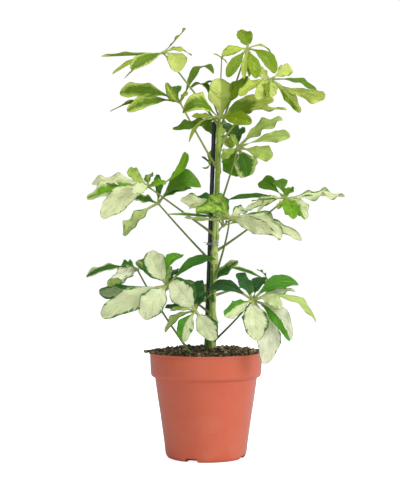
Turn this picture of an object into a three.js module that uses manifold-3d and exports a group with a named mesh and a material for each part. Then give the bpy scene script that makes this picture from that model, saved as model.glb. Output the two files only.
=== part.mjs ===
// Potted umbrella plant: a staked, variegated dwarf umbrella plant in a moulded nursery pot.
// Units are millimetres, +Z is up, and the origin is the centre of the pot's underside.
// The plant's best side faces -Y, so +X is to the right of someone who looks at it.

import * as THREE from "three";
import { mergeVertices } from "three/addons/utils/BufferGeometryUtils.js";
import Module from "manifold-3d";

const wasm = await Module();
wasm.setup();

// ---------------------------------------------------------------- driving dimensions

const CLEARANCE = 0.35; // gap kept between two separate pieces that touch

const POT = {
  height: 112,
  rimRadius: 60.2, // outer radius at the top of the lip
  lipRadius: 59.3, // outer radius at the foot of the lip
  lipFoot: 87, // height of the lip's lower edge
  neckRadius: 54.7, // outer radius just under the lip
  footRadius: 43.4, // outer radius just above the rounded foot
  wall: 1.3,
  floor: 2.2,
  sides: 34,
};

// Drain recesses moulded up into the edge of the pot's floor, each with one hole in its roof.
const RECESS = {
  count: 4,
  firstAngle: 248, // degrees from +X, so that the first one shows at the front left
  width: 13,
  height: 4,
  roof: 1.4,
  innerRadius: 29,
  holeRadius: 2.4,
  holeAt: 34,
};

const SOIL = { level: 113.2, crown: 3.8, lump: 1.5, rings: 7, sides: 28 };

const STEM = {
  sides: 8,
  // points up the stem: x, y, z and radius, with a swelling at each cluster of leaf bases
  path: [
    [5.6, -1.5, 52, 3.2],
    [5.2, -1.5, 98, 4.4],
    [5.2, -1.5, 120, 5.0],
    [5.8, -1.4, 136, 4.2],
    [6.6, -1.3, 158, 3.7],
    [7.6, -1.2, 186, 3.5],
    [9.0, -1.1, 214, 3.6],
    [9.7, -1.0, 232, 3.5],
    [10.9, -1.0, 260, 3.1],
    [12.2, -1.0, 295, 2.8],
    [13.3, -1.0, 325, 2.7],
    [13.9, -1.2, 352, 2.5],
    [14.1, -1.4, 363, 1.9],
  ],
};

const STAKE = { bottom: [-3.1, 5.2, 22], top: [9.0, 4.6, 360], radius: 2.4, sides: 12 };

const TIE = { height: 228, wire: 0.8, band: 2.4, tail: 6 };

// A petiole thins from its heel to its full length and again a little up to the hub.
const PETIOLE = { sides: 5, steps: 4, radius: 1.2, heel: 1.9, end: 0.35 };

const BLADE = {
  thickness: 0.85,
  // shares of a blade's length where it is shaped, for a wide, a narrow and a young leaflet
  stations: { wide: [0.18, 0.48, 0.8, 1], narrow: [0.3, 0.75, 1], young: [0.45, 1] },
  stalk: 0.16, // length of the short stalk that carries a leaflet, as a share of the leaflet
  stalkRadius: 0.75, // half the width of that stalk
  hubRadius: 2.6,
  fold: 0.22, // how far an edge rises above the midrib, as a share of the half width
  wave: 0.13, // how far an edge waves up and down, as a share of the half width
  waves: 2.6, // waves along one edge
  notch: 0.1, // how deep the edge is scalloped, as a share of the half width
};

// The leaves, from the crown down. Each has the height where its stalk leaves the stem (or the
// point where it leaves the soil), the hub where its leaflets meet, the way its umbrella opens,
// how far the stalk bows up (or the point that it bows towards), and the leaflets. A leaflet is
// the x, y, z of its tip from the hub, its width, how far its middle arches up, how far it bends
// to its right, and the angle in degrees between its upper face and -Y. Where that angle is left
// out, the leaflet faces the way that the umbrella opens.
const LEAVES = [
  { name: "crown_left", from: 354, hub: [-46, 8, 434], opens: [0, -0.15, 1], bow: 1, leaflets: [
    [-66, -12, -5, 15, -1, 0, 74],
    [-53, -25, -26, 13, 3, 0, 58],
    [-44, 20, -24, 10, 2, 0, 76],
    [-32, -40, -22, 19, 4, -1, 30],
    [23, 12, 29, 10, -1, 0, 72],
    [30, 20, 1, 11, 5, 0, 66],
    [16, -42, -26, 19, 4, -5, 22],
  ] },
  { name: "crown_right", from: 346, hub: [45, 12, 439], opens: [0.05, -0.3, 1], bow: [29, 15, 392],
    leaflets: [
      [-9, 12, 22, 15, 1, 3, 15],
      [-27, -10, -8, 12, 2, 1, 30],
      [-22, -22, -33, 11, 2, 1, 15],
      [-5, -28, -36, 7, 2, 0, 20],
      [1, -22, -33, 6.5, 2, 0, 20],
      [8, -28, -35, 13, 2, -1, 10],
      [29, -16, -28, 14, 5, -4, 20],
      [27, 12, -5, 8, 7, 0, 65],
    ] },
  { name: "shoot_tip", from: 361, hub: [17, 10, 429], opens: [0, -0.4, 1], bow: 0, leaflets: [
    [-9, -2, 4, 3.5, 0.5, 0],
    [6, 2, -6, 4, 0.5, 0],
    [3, 6, 7, 3, 0.5, 0],
    [5, 5, 4, 3, 0.5, 0],
  ] },
  { name: "upper_right", from: 333, hub: [69, 2, 404], opens: [0.15, -0.6, 0.8], bow: 1, leaflets: [
    [23, 12, 15, 15, 1, 0, 15],
    [52, 14, -10, 10, 7, 0, 50],
    [58, -8, -19, 15, -2, 3, 20],
    [30, -26, -37, 13, 2, -2, 15],
    [-2, -40, -23, 16, 2, 0, 10],
    [-16, -40, -25, 15, 3, 1, 10],
    [-33, -32, -20, 15, 3, 3, 15],
    [-16, -10, 10, 12, 1, 0, 15],
  ] },
  { name: "upper_left", from: 307, hub: [-28, 2, 380], opens: [-0.1, -0.4, 0.9], bow: -1, leaflets: [
    [-63, -14, 10, 18, 2, 6, 15],
    [-55, -24, -11, 14, 3, 5, 20],
    [-76, 6, -7, 8, 6, 1, 60],
    [-14, -18, 18, 12, 2, -4, 25],
    [-4, 24, 21, 13, 2, -3, 20],
    [9, -10, 9, 7, 2, 0, 40],
    [36, 44, 38, 15, 15, 0, 62],
  ] },
  { name: "crown_front", from: 350, hub: [15, -9, 362], opens: [0, -0.3, 1], bow: 0, leaflets: [
    [0, 6, 43, 26, 2, 0, 5],
    [-39, -21, 4, 24, 16, 2, 35],
    [-30, -10, 1, 7, 1, 0, 40],
    [-50, -13, -12, 12, 0, -1, 30],
    [-33, -29, -28, 7, 9, 0, 60],
    [56, -13, 18, 18, 2, -3, 15],
    [31, -33, -8, 14, 3, -1, 15],
    [30, 10, 46, 16, 3, -2, 25],
    [-32, 26, 34, 12, 14, 0, 70],
    [-18, 20, 37, 11, 15, 0, 60],
    [70, -6, 9, 13, 3, -2, 35],
  ] },
  { name: "upper_mid_right", from: 256, hub: [34, -10, 330],
    opens: [0.1, -0.3, 0.9], bow: [24, -26, 294],
    leaflets: [
      [46, -10, 30, 18, 3, -3, 15],
      [53, -22, 12, 12, 3, -1, 30],
      [35, -20, -11, 18, 1, -1, 10],
      [-5, 18, -29, 19, 2, 3, 5],
      [10, 14, -30, 20, 2, -2, 5],
      [-18, 2, -11, 12, 2, 0, 20],
      [-12, 40, 32, 18, 3, 0, 30],
      [3, 34, 25, 17, 4, 0, 30],
      [-7, 10, 16, 6.5, 1, 0, 20],
    ] },
  { name: "mid_left", from: 237, hub: [-61, -28, 288], opens: [-0.1, -0.5, 0.85], bow: 0, leaflets: [
    [-58, -6, 3, 14, 3, 4, 20],
    [-62, -18, -13, 17, 4, 4, 20],
    [-20, 12, 21, 12, 4, -3, 15],
    [-15, 18, 21, 5.5, 1, -3, 40],
    [-46, -30, -32, 23, 4, 5, 5],
    [-14, -36, -7, 13, 3, 0, 25],
    [2, 20, 15, 11, 2, 0, 30],
    [19, -12, 3, 10, 3, 0, 35],
    [40, 10, 37, 12, -2, 10, 40],
  ] },
  { name: "mid_left_low", from: 206, hub: [-51, -6, 271], opens: [0.05, -0.3, 0.95], bow: -1,
    leaflets: [
      [45, -10, 19, 23, 13, -7, 35],
      [35, -4, 17, 9, 6, -1, 40],
      [-35, -24, -34, 16, 2, 4, 10],
      [-26, 20, 8, 12, 1, 0, 35],
      [-1, 22, 33, 10, 1, 0, 30],
    ] },
  { name: "mid_front", from: 186, hub: [24, -42, 254], opens: [0.05, -0.4, 0.9], bow: [24, -24, 236],
    leaflets: [
      [-34, -24, 7, 20, 6, 6, 15],
      [-19, -12, 24, 21, 3, 2, 10],
      [-65, -8, 5, 6, 1, -1, 60],
      [-47, 20, 3, 9, -3, 0, 50],
      [-50, 8, 22, 16, 4, 1, 15],
      [-42, 4, 10, 8, 8, 0, 40],
      [-39, 32, 24, 12, 8, 0, 50],
      [41, -30, -14, 17, 2, -1, 10],
      [54, -6, -19, 22, 5, -8, 20],
      [76, 4, -21, 15, 4, -5, 25],
      [18, 24, 11, 13, 3, 0, 35],
    ] },
  { name: "mid_right", from: 219, hub: [85, -8, 276], opens: [0.1, -0.4, 0.9], bow: -2, leaflets: [
    [-61, -6, -1, 11, 3, 0, 64],
    [-24, 28, 22, 15, 2, 0, 15],
    [-7, 24, 22, 15, 2, 0, 15],
    [6, 12, 13, 13, 2, 0, 20],
    [64, 8, 3, 18, 2, -1, 20],
    [18, -30, -22, 17, 4, -4, 10],
    [5, -38, -21, 19, 4, 0, 10],
    [-43, -26, -11, 11, 4, 2, 30],
    [-37, -22, -3, 7, 3, 0, 30],
    [-31, -26, -15, 9, 5, 4, 25],
    [-9, -14, -11, 8, 1, 0, 20],
  ] },
  { name: "mid_back", from: 236, hub: [19, 34, 248], opens: [0, 0.3, 0.95], bow: 1, leaflets: [
    [-24, 6, 16, 17, 3, 0],
    [-6, 30, 22, 18, 4, 0],
    [22, 30, 4, 17, 4, 0],
    [36, 6, 2, 15, 3, 0],
    [-28, 34, 16, 15, 4, 0],
  ] },
  { name: "low_left", from: 152, hub: [-40, -50, 185], opens: [-0.1, -0.6, 0.8], bow: 2, leaflets: [
    [-19, 5, 35, 22, 3, -2, 10],
    [-67, -14, -31, 24, 4, 2, 10],
    [-24, -22, -33, 26, 5, 1, 10],
    [50, 38, 29, 15, 9, 0, 52],
    [14, 10, 32, 14, 16, 0, 42],
    [-32, 15, 26, 16, 2, 1, 35],
    [10, 24, 17, 12, 2, 0, 40],
    [3, 10, 20, 8, 1, 0, 30],
    [-73, 22, -7, 16, 1, -3, 15],
  ] },
  { name: "low_left_outer", from: [-9, -42, 104], hub: [-72, -28, 201],
    opens: [-0.2, -0.4, 0.9], bow: [-56, -37, 169],
    leaflets: [
      [-53, -8, -6, 10, 7, 0, 60],
      [-24, -32, -6, 16, 3, -1, 25],
      [-31, -8, -16, 13, 3, -2, 35],
      [-22, 30, 2, 15, 4, 0],
    ] },
  { name: "low_front", from: 134, hub: [-11, -48, 158], opens: [0, -0.6, 0.8], bow: 1, leaflets: [
    [-24, -8, 31, 24, 3, 1, 5],
    [-13, -14, -30, 17, 3, 3, 15],
    [20, -16, -28, 21, 4, 0, 10],
    [-32, 0, -21, 10, 3, 5, 40],
    [-32, 18, 4, 9, 3, 0, 45],
    [4, 26, 32, 16, 3, 0, 25],
    [12, 20, 20, 12, 3, 0, 35],
    [-26, -5, 2, 6, 4, 0, 40],
  ] },
  { name: "low_right", from: 121, hub: [48, -46, 169], opens: [0.1, -0.6, 0.8], bow: -1.5, leaflets: [
    [-46, 30, 12, 17, 10, 0, 48],
    [-49, 26, 1, 6.5, 12, 0, 65],
    [-14, 16, 29, 14, 2, 0, 25],
    [10, 30, 24, 15, 1, 0, 30],
    [48, 16, 19, 18, 8, -3, 42],
    [45, 12, 11, 8, 4, 0, 45],
    [29, -14, -6, 16, 5, -4, 30],
    [67, 10, -22, 15, 17, -5, 42],
    [2, -34, -38, 26, 5, 0, 5],
    [38, -20, -39, 18, 5, -8, 12],
    [13, -14, -64, 25, 4, -8, 8],
    [-29, -26, -14, 19, 3, 1, 20],
  ] },
  { name: "low_right_back", from: 172, hub: [68, 34, 188], opens: [0.2, 0.25, 0.9], bow: 1, leaflets: [
    [-41, -6, 15, 10, 1, 0, 68],
    [-11, 8, 12, 8, 2, 0],
    [20, 46, -16, 18, 6, 0],
    [8, 32, -30, 18, 6, 0],
    [-16, 48, -14, 18, 5, 0],
  ] },
  { name: "low_back", from: 170, hub: [0, 48, 182], opens: [0, 0.4, 0.9], bow: 1, leaflets: [
    [35, -8, 28, 13, 0, 0, 50],
    [-50, 12, -6, 17, 6, 0],
    [-38, 40, -14, 18, 6, 0],
    [-8, 54, -22, 20, 6, 0],
    [38, 24, -8, 17, 5, 0],
  ] },
  { name: "upper_small", from: 312, hub: [4, 14, 316], opens: [-0.2, 0.2, 1], bow: [11, 15, 316],
    leaflets: [
      [-9, 2, 7, 5.5, 0, 0, 60],
      [-9, 0, -5, 6.5, -4, 0, 75],
      [-2, 12, 4, 6, 1, 0],
    ] },
  { name: "upper_back", from: 320, hub: [20, 38, 343], opens: [0, 0.35, 0.9], bow: 1, leaflets: [
    [-24, -10, 17, 13, 3, 0, 30],
    [18, -4, 10, 16, 3, 0],
    [-6, 44, 18, 18, 5, 0],
    [10, 46, -4, 18, 5, 0],
    [-14, 30, -26, 14, 5, 0],
  ] },
];

const COLOUR = {
  pot: 0xc4643f,
  soil: 0x2b2218,
  stem: 0x7d9440,
  petiole: 0x7d8c3c,
  stake: 0x14151d,
  tie: 0x3a4a5a,
  crown: 0xa9bf33, // young lime leaves
  middle: 0x8fae4c,
  lower: 0xc3cf95, // older cream and green leaves
};

// ---------------------------------------------------------------- helpers

const radians = (degrees) => (degrees * Math.PI) / 180;
const vector = (a) => new THREE.Vector3(a[0], a[1], a[2]);

// A repeatable draw between 0 and 1 for leaflet number k.
function draw(k, salt) {
  const wild = Math.sin(k * 12.9898 + salt * 78.233) * 43758.5453;
  return wild - Math.floor(wild);
}

// The solid inside a closed geometry, whichever way its faces were wound.
function solid(geometry) {
  const bare = geometry.clone();
  bare.deleteAttribute("normal");
  bare.deleteAttribute("uv");
  const merged = mergeVertices(bare, 1e-4);
  const vertProperties = new Float32Array(merged.attributes.position.array);
  const triVerts = new Uint32Array(merged.index.array);
  const make = () => new wasm.Manifold(new wasm.Mesh({ numProp: 3, vertProperties, triVerts }));
  if (make().volume() < 0)
    for (let i = 0; i < triVerts.length; i += 3)
      [triVerts[i + 1], triVerts[i + 2]] = [triVerts[i + 2], triVerts[i + 1]];
  return make();
}

function meshOf(name, made, colour, roughness) {
  const data = made.getMesh();
  const geometry = new THREE.BufferGeometry();
  geometry.setAttribute("position", new THREE.BufferAttribute(data.vertProperties, 3));
  geometry.setIndex(new THREE.BufferAttribute(data.triVerts, 1));
  geometry.computeVertexNormals();
  const material = new THREE.MeshStandardMaterial({ color: colour, roughness, metalness: 0 });
  const mesh = new THREE.Mesh(geometry, material);
  mesh.name = name;
  return mesh;
}

function geometryOf(points, faces) {
  const geometry = new THREE.BufferGeometry();
  const flat = points.flatMap((p) => [p.x, p.y, p.z]);
  geometry.setAttribute("position", new THREE.Float32BufferAttribute(flat, 3));
  geometry.setIndex(faces);
  return geometry;
}

// A closed skin through rings that each have the same number of points, with flat ends.
function loft(rings) {
  const n = rings[0].length;
  const last = (rings.length - 1) * n;
  const faces = [];
  for (let i = 0; i < rings.length - 1; i++)
    for (let j = 0; j < n; j++) {
      const a = i * n + j;
      const b = i * n + ((j + 1) % n);
      faces.push(a, b, b + n, a, b + n, a + n);
    }
  for (let j = 1; j < n - 1; j++) {
    faces.push(0, j + 1, j);
    faces.push(last, last + j, last + j + 1);
  }
  return geometryOf(rings.flat(), faces);
}

// A round rod along a curve. radiusAt gives its radius from 0 at the start to 1 at the end.
function rod(curve, steps, sides, radiusAt) {
  const frames = curve.computeFrenetFrames(steps, false);
  const rings = [];
  for (let i = 0; i <= steps; i++) {
    const centre = curve.getPointAt(i / steps);
    const ring = [];
    for (let j = 0; j < sides; j++) {
      const turn = (2 * Math.PI * j) / sides;
      ring.push(
        centre
          .clone()
          .addScaledVector(frames.normals[i], radiusAt(i / steps) * Math.cos(turn))
          .addScaledVector(frames.binormals[i], radiusAt(i / steps) * Math.sin(turn)),
      );
    }
    rings.push(ring);
  }
  return solid(loft(rings));
}

// A solid turned about Z from a profile of [radius, height] points.
function turned(profile, sides) {
  const points = profile.map(([r, z]) => new THREE.Vector2(r, z));
  return solid(new THREE.LatheGeometry(points, sides).rotateX(Math.PI / 2));
}

function box(width, depth, height, centre) {
  return solid(new THREE.BoxGeometry(width, depth, height).translate(...centre));
}

// ---------------------------------------------------------------- pot

function outerWall() {
  return [
    [POT.footRadius - 5, 0],
    [POT.footRadius - 1.6, 1.2],
    [POT.footRadius, 5.5],
    [POT.neckRadius, POT.lipFoot - 2],
    [POT.lipRadius - 2.6, POT.lipFoot - 1],
    [POT.lipRadius - 0.8, POT.lipFoot + 1],
    [POT.lipRadius, POT.lipFoot + 5],
    [POT.rimRadius, POT.height - 1.2],
    [POT.rimRadius - 0.5, POT.height],
  ];
}

function innerWall(inset) {
  return [
    [POT.rimRadius - POT.wall - inset, POT.height],
    [POT.lipRadius - POT.wall - inset, POT.lipFoot + 4],
    [POT.lipRadius - 3.2 - inset, POT.lipFoot + 1],
    [POT.neckRadius - POT.wall - inset, POT.lipFoot - 2],
    [POT.footRadius - POT.wall - inset, 6.5],
    [POT.footRadius - POT.wall - 3 - inset, POT.floor + inset],
  ];
}

const recessAngles = Array.from(
  { length: RECESS.count },
  (_, i) => radians(RECESS.firstAngle + (360 / RECESS.count) * i),
);

// The raised roofs over the drain recesses, grown by a margin.
function recessRoofs(margin) {
  const outer = POT.footRadius - 2.6;
  const depth = outer - RECESS.innerRadius + 2 * RECESS.roof;
  const top = RECESS.height + RECESS.roof + margin;
  return recessAngles.map((angle) =>
    box(depth + 2 * margin, RECESS.width + 2 * RECESS.roof + 2 * margin, top - 1, [
      outer - depth / 2,
      0,
      1 + (top - 1) / 2,
    ]).rotate([0, 0, THREE.MathUtils.radToDeg(angle)]),
  );
}

function makePot() {
  let pot = turned([[0, 0], ...outerWall(), ...innerWall(0), [0, POT.floor]], POT.sides);
  for (const roof of recessRoofs(0)) pot = pot.add(roof);
  for (const angle of recessAngles) {
    const degrees = THREE.MathUtils.radToDeg(angle);
    const reach = POT.footRadius + 4 - RECESS.innerRadius;
    const slot = box(reach, RECESS.width, 2 * RECESS.height, [RECESS.innerRadius + reach / 2, 0, 0]);
    const drill = new THREE.CylinderGeometry(RECESS.holeRadius, RECESS.holeRadius, 20, 8);
    const hole = solid(drill.rotateX(Math.PI / 2).translate(RECESS.holeAt, 0, 0));
    pot = pot.subtract(slot.rotate([0, 0, degrees])).subtract(hole.rotate([0, 0, degrees]));
  }
  return pot;
}

// ---------------------------------------------------------------- stem and stake

// The stem, grown by a margin where something has to stand clear of it.
function makeStem(margin) {
  const rings = STEM.path.map(([x, y, z, radius]) => {
    const ring = [];
    for (let j = 0; j < STEM.sides; j++) {
      const turn = (2 * Math.PI * j) / STEM.sides;
      ring.push(
        new THREE.Vector3(
          x + (radius + margin) * Math.cos(turn),
          y + (radius + margin) * Math.sin(turn),
          z,
        ),
      );
    }
    return ring;
  });
  const top = rings[rings.length - 1];
  for (const p of rings[0]) p.z -= margin;
  for (const p of top) p.z += margin;
  return solid(loft(rings));
}

// The stem's axis at a height.
function stemAt(height) {
  const path = STEM.path;
  const upper = path.findIndex((p) => p[2] >= height);
  const [a, b] = [path[upper - 1], path[upper]];
  return vector(a).lerp(vector(b), (height - a[2]) / (b[2] - a[2]));
}

function makeStake(margin) {
  const foot = vector(STAKE.bottom);
  const top = vector(STAKE.top);
  const length = foot.distanceTo(top);
  const r = STAKE.radius + margin;
  const profile = [
    [0, -margin],
    [r - 1.2, -margin],
    [r, 1.6 - margin],
    [r, length - 1 + margin],
    [r - 0.9, length + margin],
    [0, length + margin],
  ];
  const points = profile.map(([x, y]) => new THREE.Vector2(x, y));
  const shape = new THREE.LatheGeometry(points, STAKE.sides);
  const up = new THREE.Vector3(0, 1, 0);
  shape.applyQuaternion(new THREE.Quaternion().setFromUnitVectors(up, top.sub(foot).normalize()));
  return solid(shape.translate(foot.x, foot.y, foot.z));
}

function stakeAt(height) {
  const [foot, top] = [vector(STAKE.bottom), vector(STAKE.top)];
  return foot.clone().lerp(top, (height - foot.z) / (top.z - foot.z));
}

// A flat band looped round the stem and the stake, with its loose tail.
function makeTie() {
  const a = stakeAt(TIE.height);
  const b = stemAt(TIE.height);
  const reach = Math.hypot(b.x - a.x, b.y - a.y);
  const [ra, rb] = [STAKE.radius + 0.5, 3.9];
  const outline = (grow) => {
    const points = [];
    for (let j = 0; j <= 8; j++) {
      const turn = radians(90 + (180 * j) / 8);
      points.push([(ra + grow) * Math.cos(turn), (ra + grow) * Math.sin(turn)]);
    }
    for (let j = 0; j <= 8; j++) {
      const turn = radians(-90 + (180 * j) / 8);
      points.push([reach + (rb + grow) * Math.cos(turn), (rb + grow) * Math.sin(turn)]);
    }
    return points.map(([x, y]) => new THREE.Vector2(x, y));
  };
  const shape = new THREE.Shape(outline(TIE.wire));
  shape.holes.push(new THREE.Path(outline(0)));
  const band = solid(new THREE.ExtrudeGeometry(shape, { depth: TIE.band, bevelEnabled: false, steps: 1 }));
  const tail = box(TIE.wire, TIE.tail, TIE.band, [-ra - TIE.wire / 2 + 0.1, -TIE.tail / 2, TIE.band / 2]);
  const turn = THREE.MathUtils.radToDeg(Math.atan2(b.y - a.y, b.x - a.x));
  return band.add(tail).rotate([0, 0, turn]).translate([a.x, a.y, TIE.height - TIE.band / 2]);
}

// ---------------------------------------------------------------- soil

// How far the crumbs lift the soil at a point.
function crumbs(x, y) {
  const coarse = Math.sin(0.31 * x + 1.3) * Math.cos(0.27 * y - 0.6);
  const fine = Math.sin(0.74 * x - 0.43 * y) * Math.cos(0.69 * y + 0.38 * x + 2);
  return SOIL.lump * (0.6 * coarse + 0.8 * fine);
}

function makeSoil() {
  const wall = innerWall(CLEARANCE).reverse();
  wall[wall.length - 1][1] -= 1;
  const edge = wall[wall.length - 1][0];
  const rings = wall.map(([r, z]) => [r, () => z]);
  for (let i = SOIL.rings; i > 0; i--) {
    const r = (edge * (i - 0.3)) / SOIL.rings;
    const dome = SOIL.level + SOIL.crown * (1 - (r / edge) ** 2);
    rings.push([r, (x, y) => dome + crumbs(x, y)]);
  }
  const skin = rings.map(([r, heightAt]) =>
    Array.from({ length: SOIL.sides }, (_, j) => {
      const turn = (2 * Math.PI * j) / SOIL.sides;
      const [x, y] = [r * Math.cos(turn), r * Math.sin(turn)];
      return new THREE.Vector3(x, y, heightAt(x, y));
    }),
  );
  let soil = solid(loft(skin));
  for (const roof of recessRoofs(CLEARANCE)) soil = soil.subtract(roof);
  return soil;
}

// ---------------------------------------------------------------- leaves

// Half the width of a blade from its base at 0 to its tip at 1: narrow at the base, widest past
// the middle, blunt at the tip, with a scalloped edge.
function halfWidth(share, width, phase) {
  const outline = Math.max(Math.sin(Math.PI * share ** 1.2), 0) ** 0.5;
  const scallop = 1 - BLADE.notch * (0.5 + 0.5 * Math.sin(13 * share + phase));
  return Math.max(0.5 * width * outline * scallop, 0.1 * width, BLADE.stalkRadius);
}

// The way that a leaflet's upper face looks: `angle` degrees round from -Y towards the side that
// the umbrella opens to, or straight that way where there is no angle.
function upperFace(along, opens, angle) {
  const square = (v) => v.addScaledVector(along, -v.dot(along)).normalize();
  if (angle === undefined) return square(opens.clone());
  const front = square(new THREE.Vector3(0, -1, 0));
  const side = new THREE.Vector3().crossVectors(along, front);
  if (side.dot(opens) < 0) side.negate();
  return front.multiplyScalar(Math.cos(radians(angle))).addScaledVector(side, Math.sin(radians(angle)));
}

// A leaflet: a stalk, then a blade folded up along its midrib, arched, curled down at the tip and
// waved along both edges. Both faces have their diagonals in the same places.
function leaflet(hub, opens, [x, y, z, width, arch, sway, angle], k) {
  const tip = new THREE.Vector3(x, y, z);
  const length = tip.length();
  const along = tip.clone().normalize();
  const up = upperFace(along, opens, angle);
  const across = new THREE.Vector3().crossVectors(along, up);
  const phase = 2 * Math.PI * draw(k, 1);
  const curl = 0.1 * length * draw(k, 3);
  const points = [];
  const ring = (share, half, thick, bladeShare) => {
    const bend = Math.max(0, (share - 0.55) / 0.45) ** 2;
    const lift = 4 * arch * share * (1 - share) - curl * bend * (1 - 0.5 * share);
    const centre = hub.clone().addScaledVector(tip, share);
    centre.addScaledVector(up, lift).addScaledVector(across, 4 * sway * share * (1 - share));
    const edge = (side) => {
      const wave = Math.sin(2 * Math.PI * BLADE.waves * bladeShare + phase + side);
      return half * (BLADE.fold + BLADE.wave * wave);
    };
    const at = (side, rise) =>
      centre.clone().addScaledVector(across, side * half).addScaledVector(up, rise);
    const t = thick / 2;
    points.push(at(-1, edge(-1) + t), at(0, t), at(1, edge(1) + t));
    points.push(at(1, edge(1) - t), at(0, -t), at(-1, edge(-1) - t));
  };
  const base = BLADE.stalk;
  ring(0, BLADE.stalkRadius, 2 * BLADE.stalkRadius, 0);
  ring(base, BLADE.stalkRadius, 1.3 * BLADE.stalkRadius, 0);
  const size = width > 13 ? "wide" : width > 8 ? "narrow" : "young";
  for (const share of BLADE.stations[size]) {
    ring(base + (1 - base) * share, halfWidth(share, width, phase), BLADE.thickness, share);
  }
  const rings = BLADE.stations[size].length + 2;
  const faceList = [0, 1, 5, 1, 4, 5, 1, 2, 4, 2, 3, 4];
  const end = (rings - 1) * 6;
  for (const [a, b, c] of [[0, 5, 1], [1, 5, 4], [1, 4, 2], [2, 4, 3]])
    faceList.push(end + a, end + b, end + c);
  for (let i = 0; i < rings - 1; i++)
    for (let j = 0; j < 6; j++) {
      const [a, b] = [6 * i + j, 6 * i + ((j + 1) % 6)];
      if (j === 3 || j === 4) faceList.push(a, a + 6, b, b, a + 6, b + 6);
      else faceList.push(a, b + 6, b, a, a + 6, b + 6);
    }
  return solid(geometryOf(points, faceList));
}

// A leaf stalk from inside the stem, or from inside the soil, to the hub, thickest at its heel and
// grown by a margin where something has to stand clear of it.
function makePetiole(leaf, margin) {
  const inSoil = Array.isArray(leaf.from);
  const start = inSoil ? vector(leaf.from) : stemAt(leaf.from);
  const hub = vector(leaf.hub);
  start.addScaledVector(hub.clone().sub(start).normalize(), -margin);
  const middle = Array.isArray(leaf.bow) ? vector(leaf.bow) : start.clone().lerp(hub, 0.5);
  if (!Array.isArray(leaf.bow)) middle.z += 2 * leaf.bow;
  const curve = new THREE.QuadraticBezierCurve3(start, middle, hub);
  const young = leaf.leaflets[0][3] < 8;
  const { heel, radius, end } = PETIOLE;
  const thickness = (share) => heel * (1 - share) ** 6 + radius * (1 - (1 - share) ** 6) - end * share;
  const radiusAt = (share) => (young ? 0.7 : 1) * thickness(share) + margin;
  return rod(curve, PETIOLE.steps, PETIOLE.sides, radiusAt);
}

const hubBall = (leaf, margin) => {
  const radius = (leaf.leaflets[0][3] < 8 ? 0.6 : 1) * BLADE.hubRadius + margin;
  return solid(new THREE.OctahedronGeometry(1.15 * radius, 0).translate(...leaf.hub));
};

function makeLeaflets(leaf, firstNumber) {
  const hub = vector(leaf.hub);
  const opens = vector(leaf.opens).normalize();
  const blades = leaf.leaflets.map((row, i) => leaflet(hub, opens, row, firstNumber + i));
  return blades.reduce((whole, blade) => whole.add(blade), hubBall(leaf, 0));
}

// ---------------------------------------------------------------- assembly

const plant = new THREE.Group();

const stem = makeStem(0);
const stemRoom = makeStem(CLEARANCE);
const stakeRoom = makeStake(CLEARANCE);

let soil = makeSoil().subtract(stemRoom).subtract(stakeRoom);

let leafletNumber = 1;
for (const leaf of LEAVES) {
  const petiole = makePetiole(leaf, 0)
    .subtract(stemRoom)
    .subtract(stakeRoom)
    .subtract(hubBall(leaf, CLEARANCE));
  if (Array.isArray(leaf.from)) soil = soil.subtract(makePetiole(leaf, CLEARANCE));
  const colour = leaf.hub[2] > 340 ? COLOUR.crown : leaf.hub[2] > 240 ? COLOUR.middle : COLOUR.lower;
  plant.add(meshOf("petiole_" + leaf.name, petiole, COLOUR.petiole, 0.55));
  plant.add(meshOf("leaflets_" + leaf.name, makeLeaflets(leaf, leafletNumber), colour, 0.4));
  leafletNumber += leaf.leaflets.length;
}

plant.add(meshOf("pot", makePot(), COLOUR.pot, 0.45));
plant.add(meshOf("soil", soil, COLOUR.soil, 0.95));
plant.add(meshOf("stem", stem, COLOUR.stem, 0.6));
plant.add(meshOf("stake", makeStake(0), COLOUR.stake, 0.35));
plant.add(meshOf("tie", makeTie(), COLOUR.tie, 0.4));

export default plant;
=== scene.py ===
# %% [markdown]
# # A potted umbrella plant
#
# The plant is a young dwarf umbrella tree with variegated leaves, tied to a stake in a moulded
# nursery pot. Its solids come from the imported CAD part. This script dresses them: every faceted
# solid gets a finer surface with a procedural finish, and the CAD node that each finer piece stands
# for is hidden. Everything is in millimetres here and is turned into metres when a mesh is made.

import math

import bpy
import numpy as np
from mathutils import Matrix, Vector


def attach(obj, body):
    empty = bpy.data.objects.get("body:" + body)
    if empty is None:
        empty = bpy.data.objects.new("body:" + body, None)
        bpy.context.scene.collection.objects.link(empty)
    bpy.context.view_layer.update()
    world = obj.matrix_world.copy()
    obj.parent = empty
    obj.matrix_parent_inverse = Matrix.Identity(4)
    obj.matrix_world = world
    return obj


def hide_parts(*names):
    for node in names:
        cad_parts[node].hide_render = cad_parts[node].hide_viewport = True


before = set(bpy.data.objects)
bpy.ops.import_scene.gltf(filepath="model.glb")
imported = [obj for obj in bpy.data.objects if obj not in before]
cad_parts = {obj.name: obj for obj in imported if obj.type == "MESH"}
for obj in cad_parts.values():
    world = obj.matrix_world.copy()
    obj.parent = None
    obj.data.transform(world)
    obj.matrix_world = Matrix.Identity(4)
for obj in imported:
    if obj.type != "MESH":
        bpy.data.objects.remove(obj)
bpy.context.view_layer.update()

# %% [markdown]
# ## Camera, floor and light
#
# A small object that is photographed for a catalogue stands far from a long lens, level with the
# middle of the plant. The camera looks along +Y. With a 36 mm sensor on the long side, a 90 mm
# lens at 1.34 m takes in 0.535 m, so the plant nearly fills the picture.
#
# The floor is one wide plain sheet. It could be a curved paper backdrop, but a pale sheet under a
# white sky gives the same clean edge and looks the same from all sides.

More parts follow.
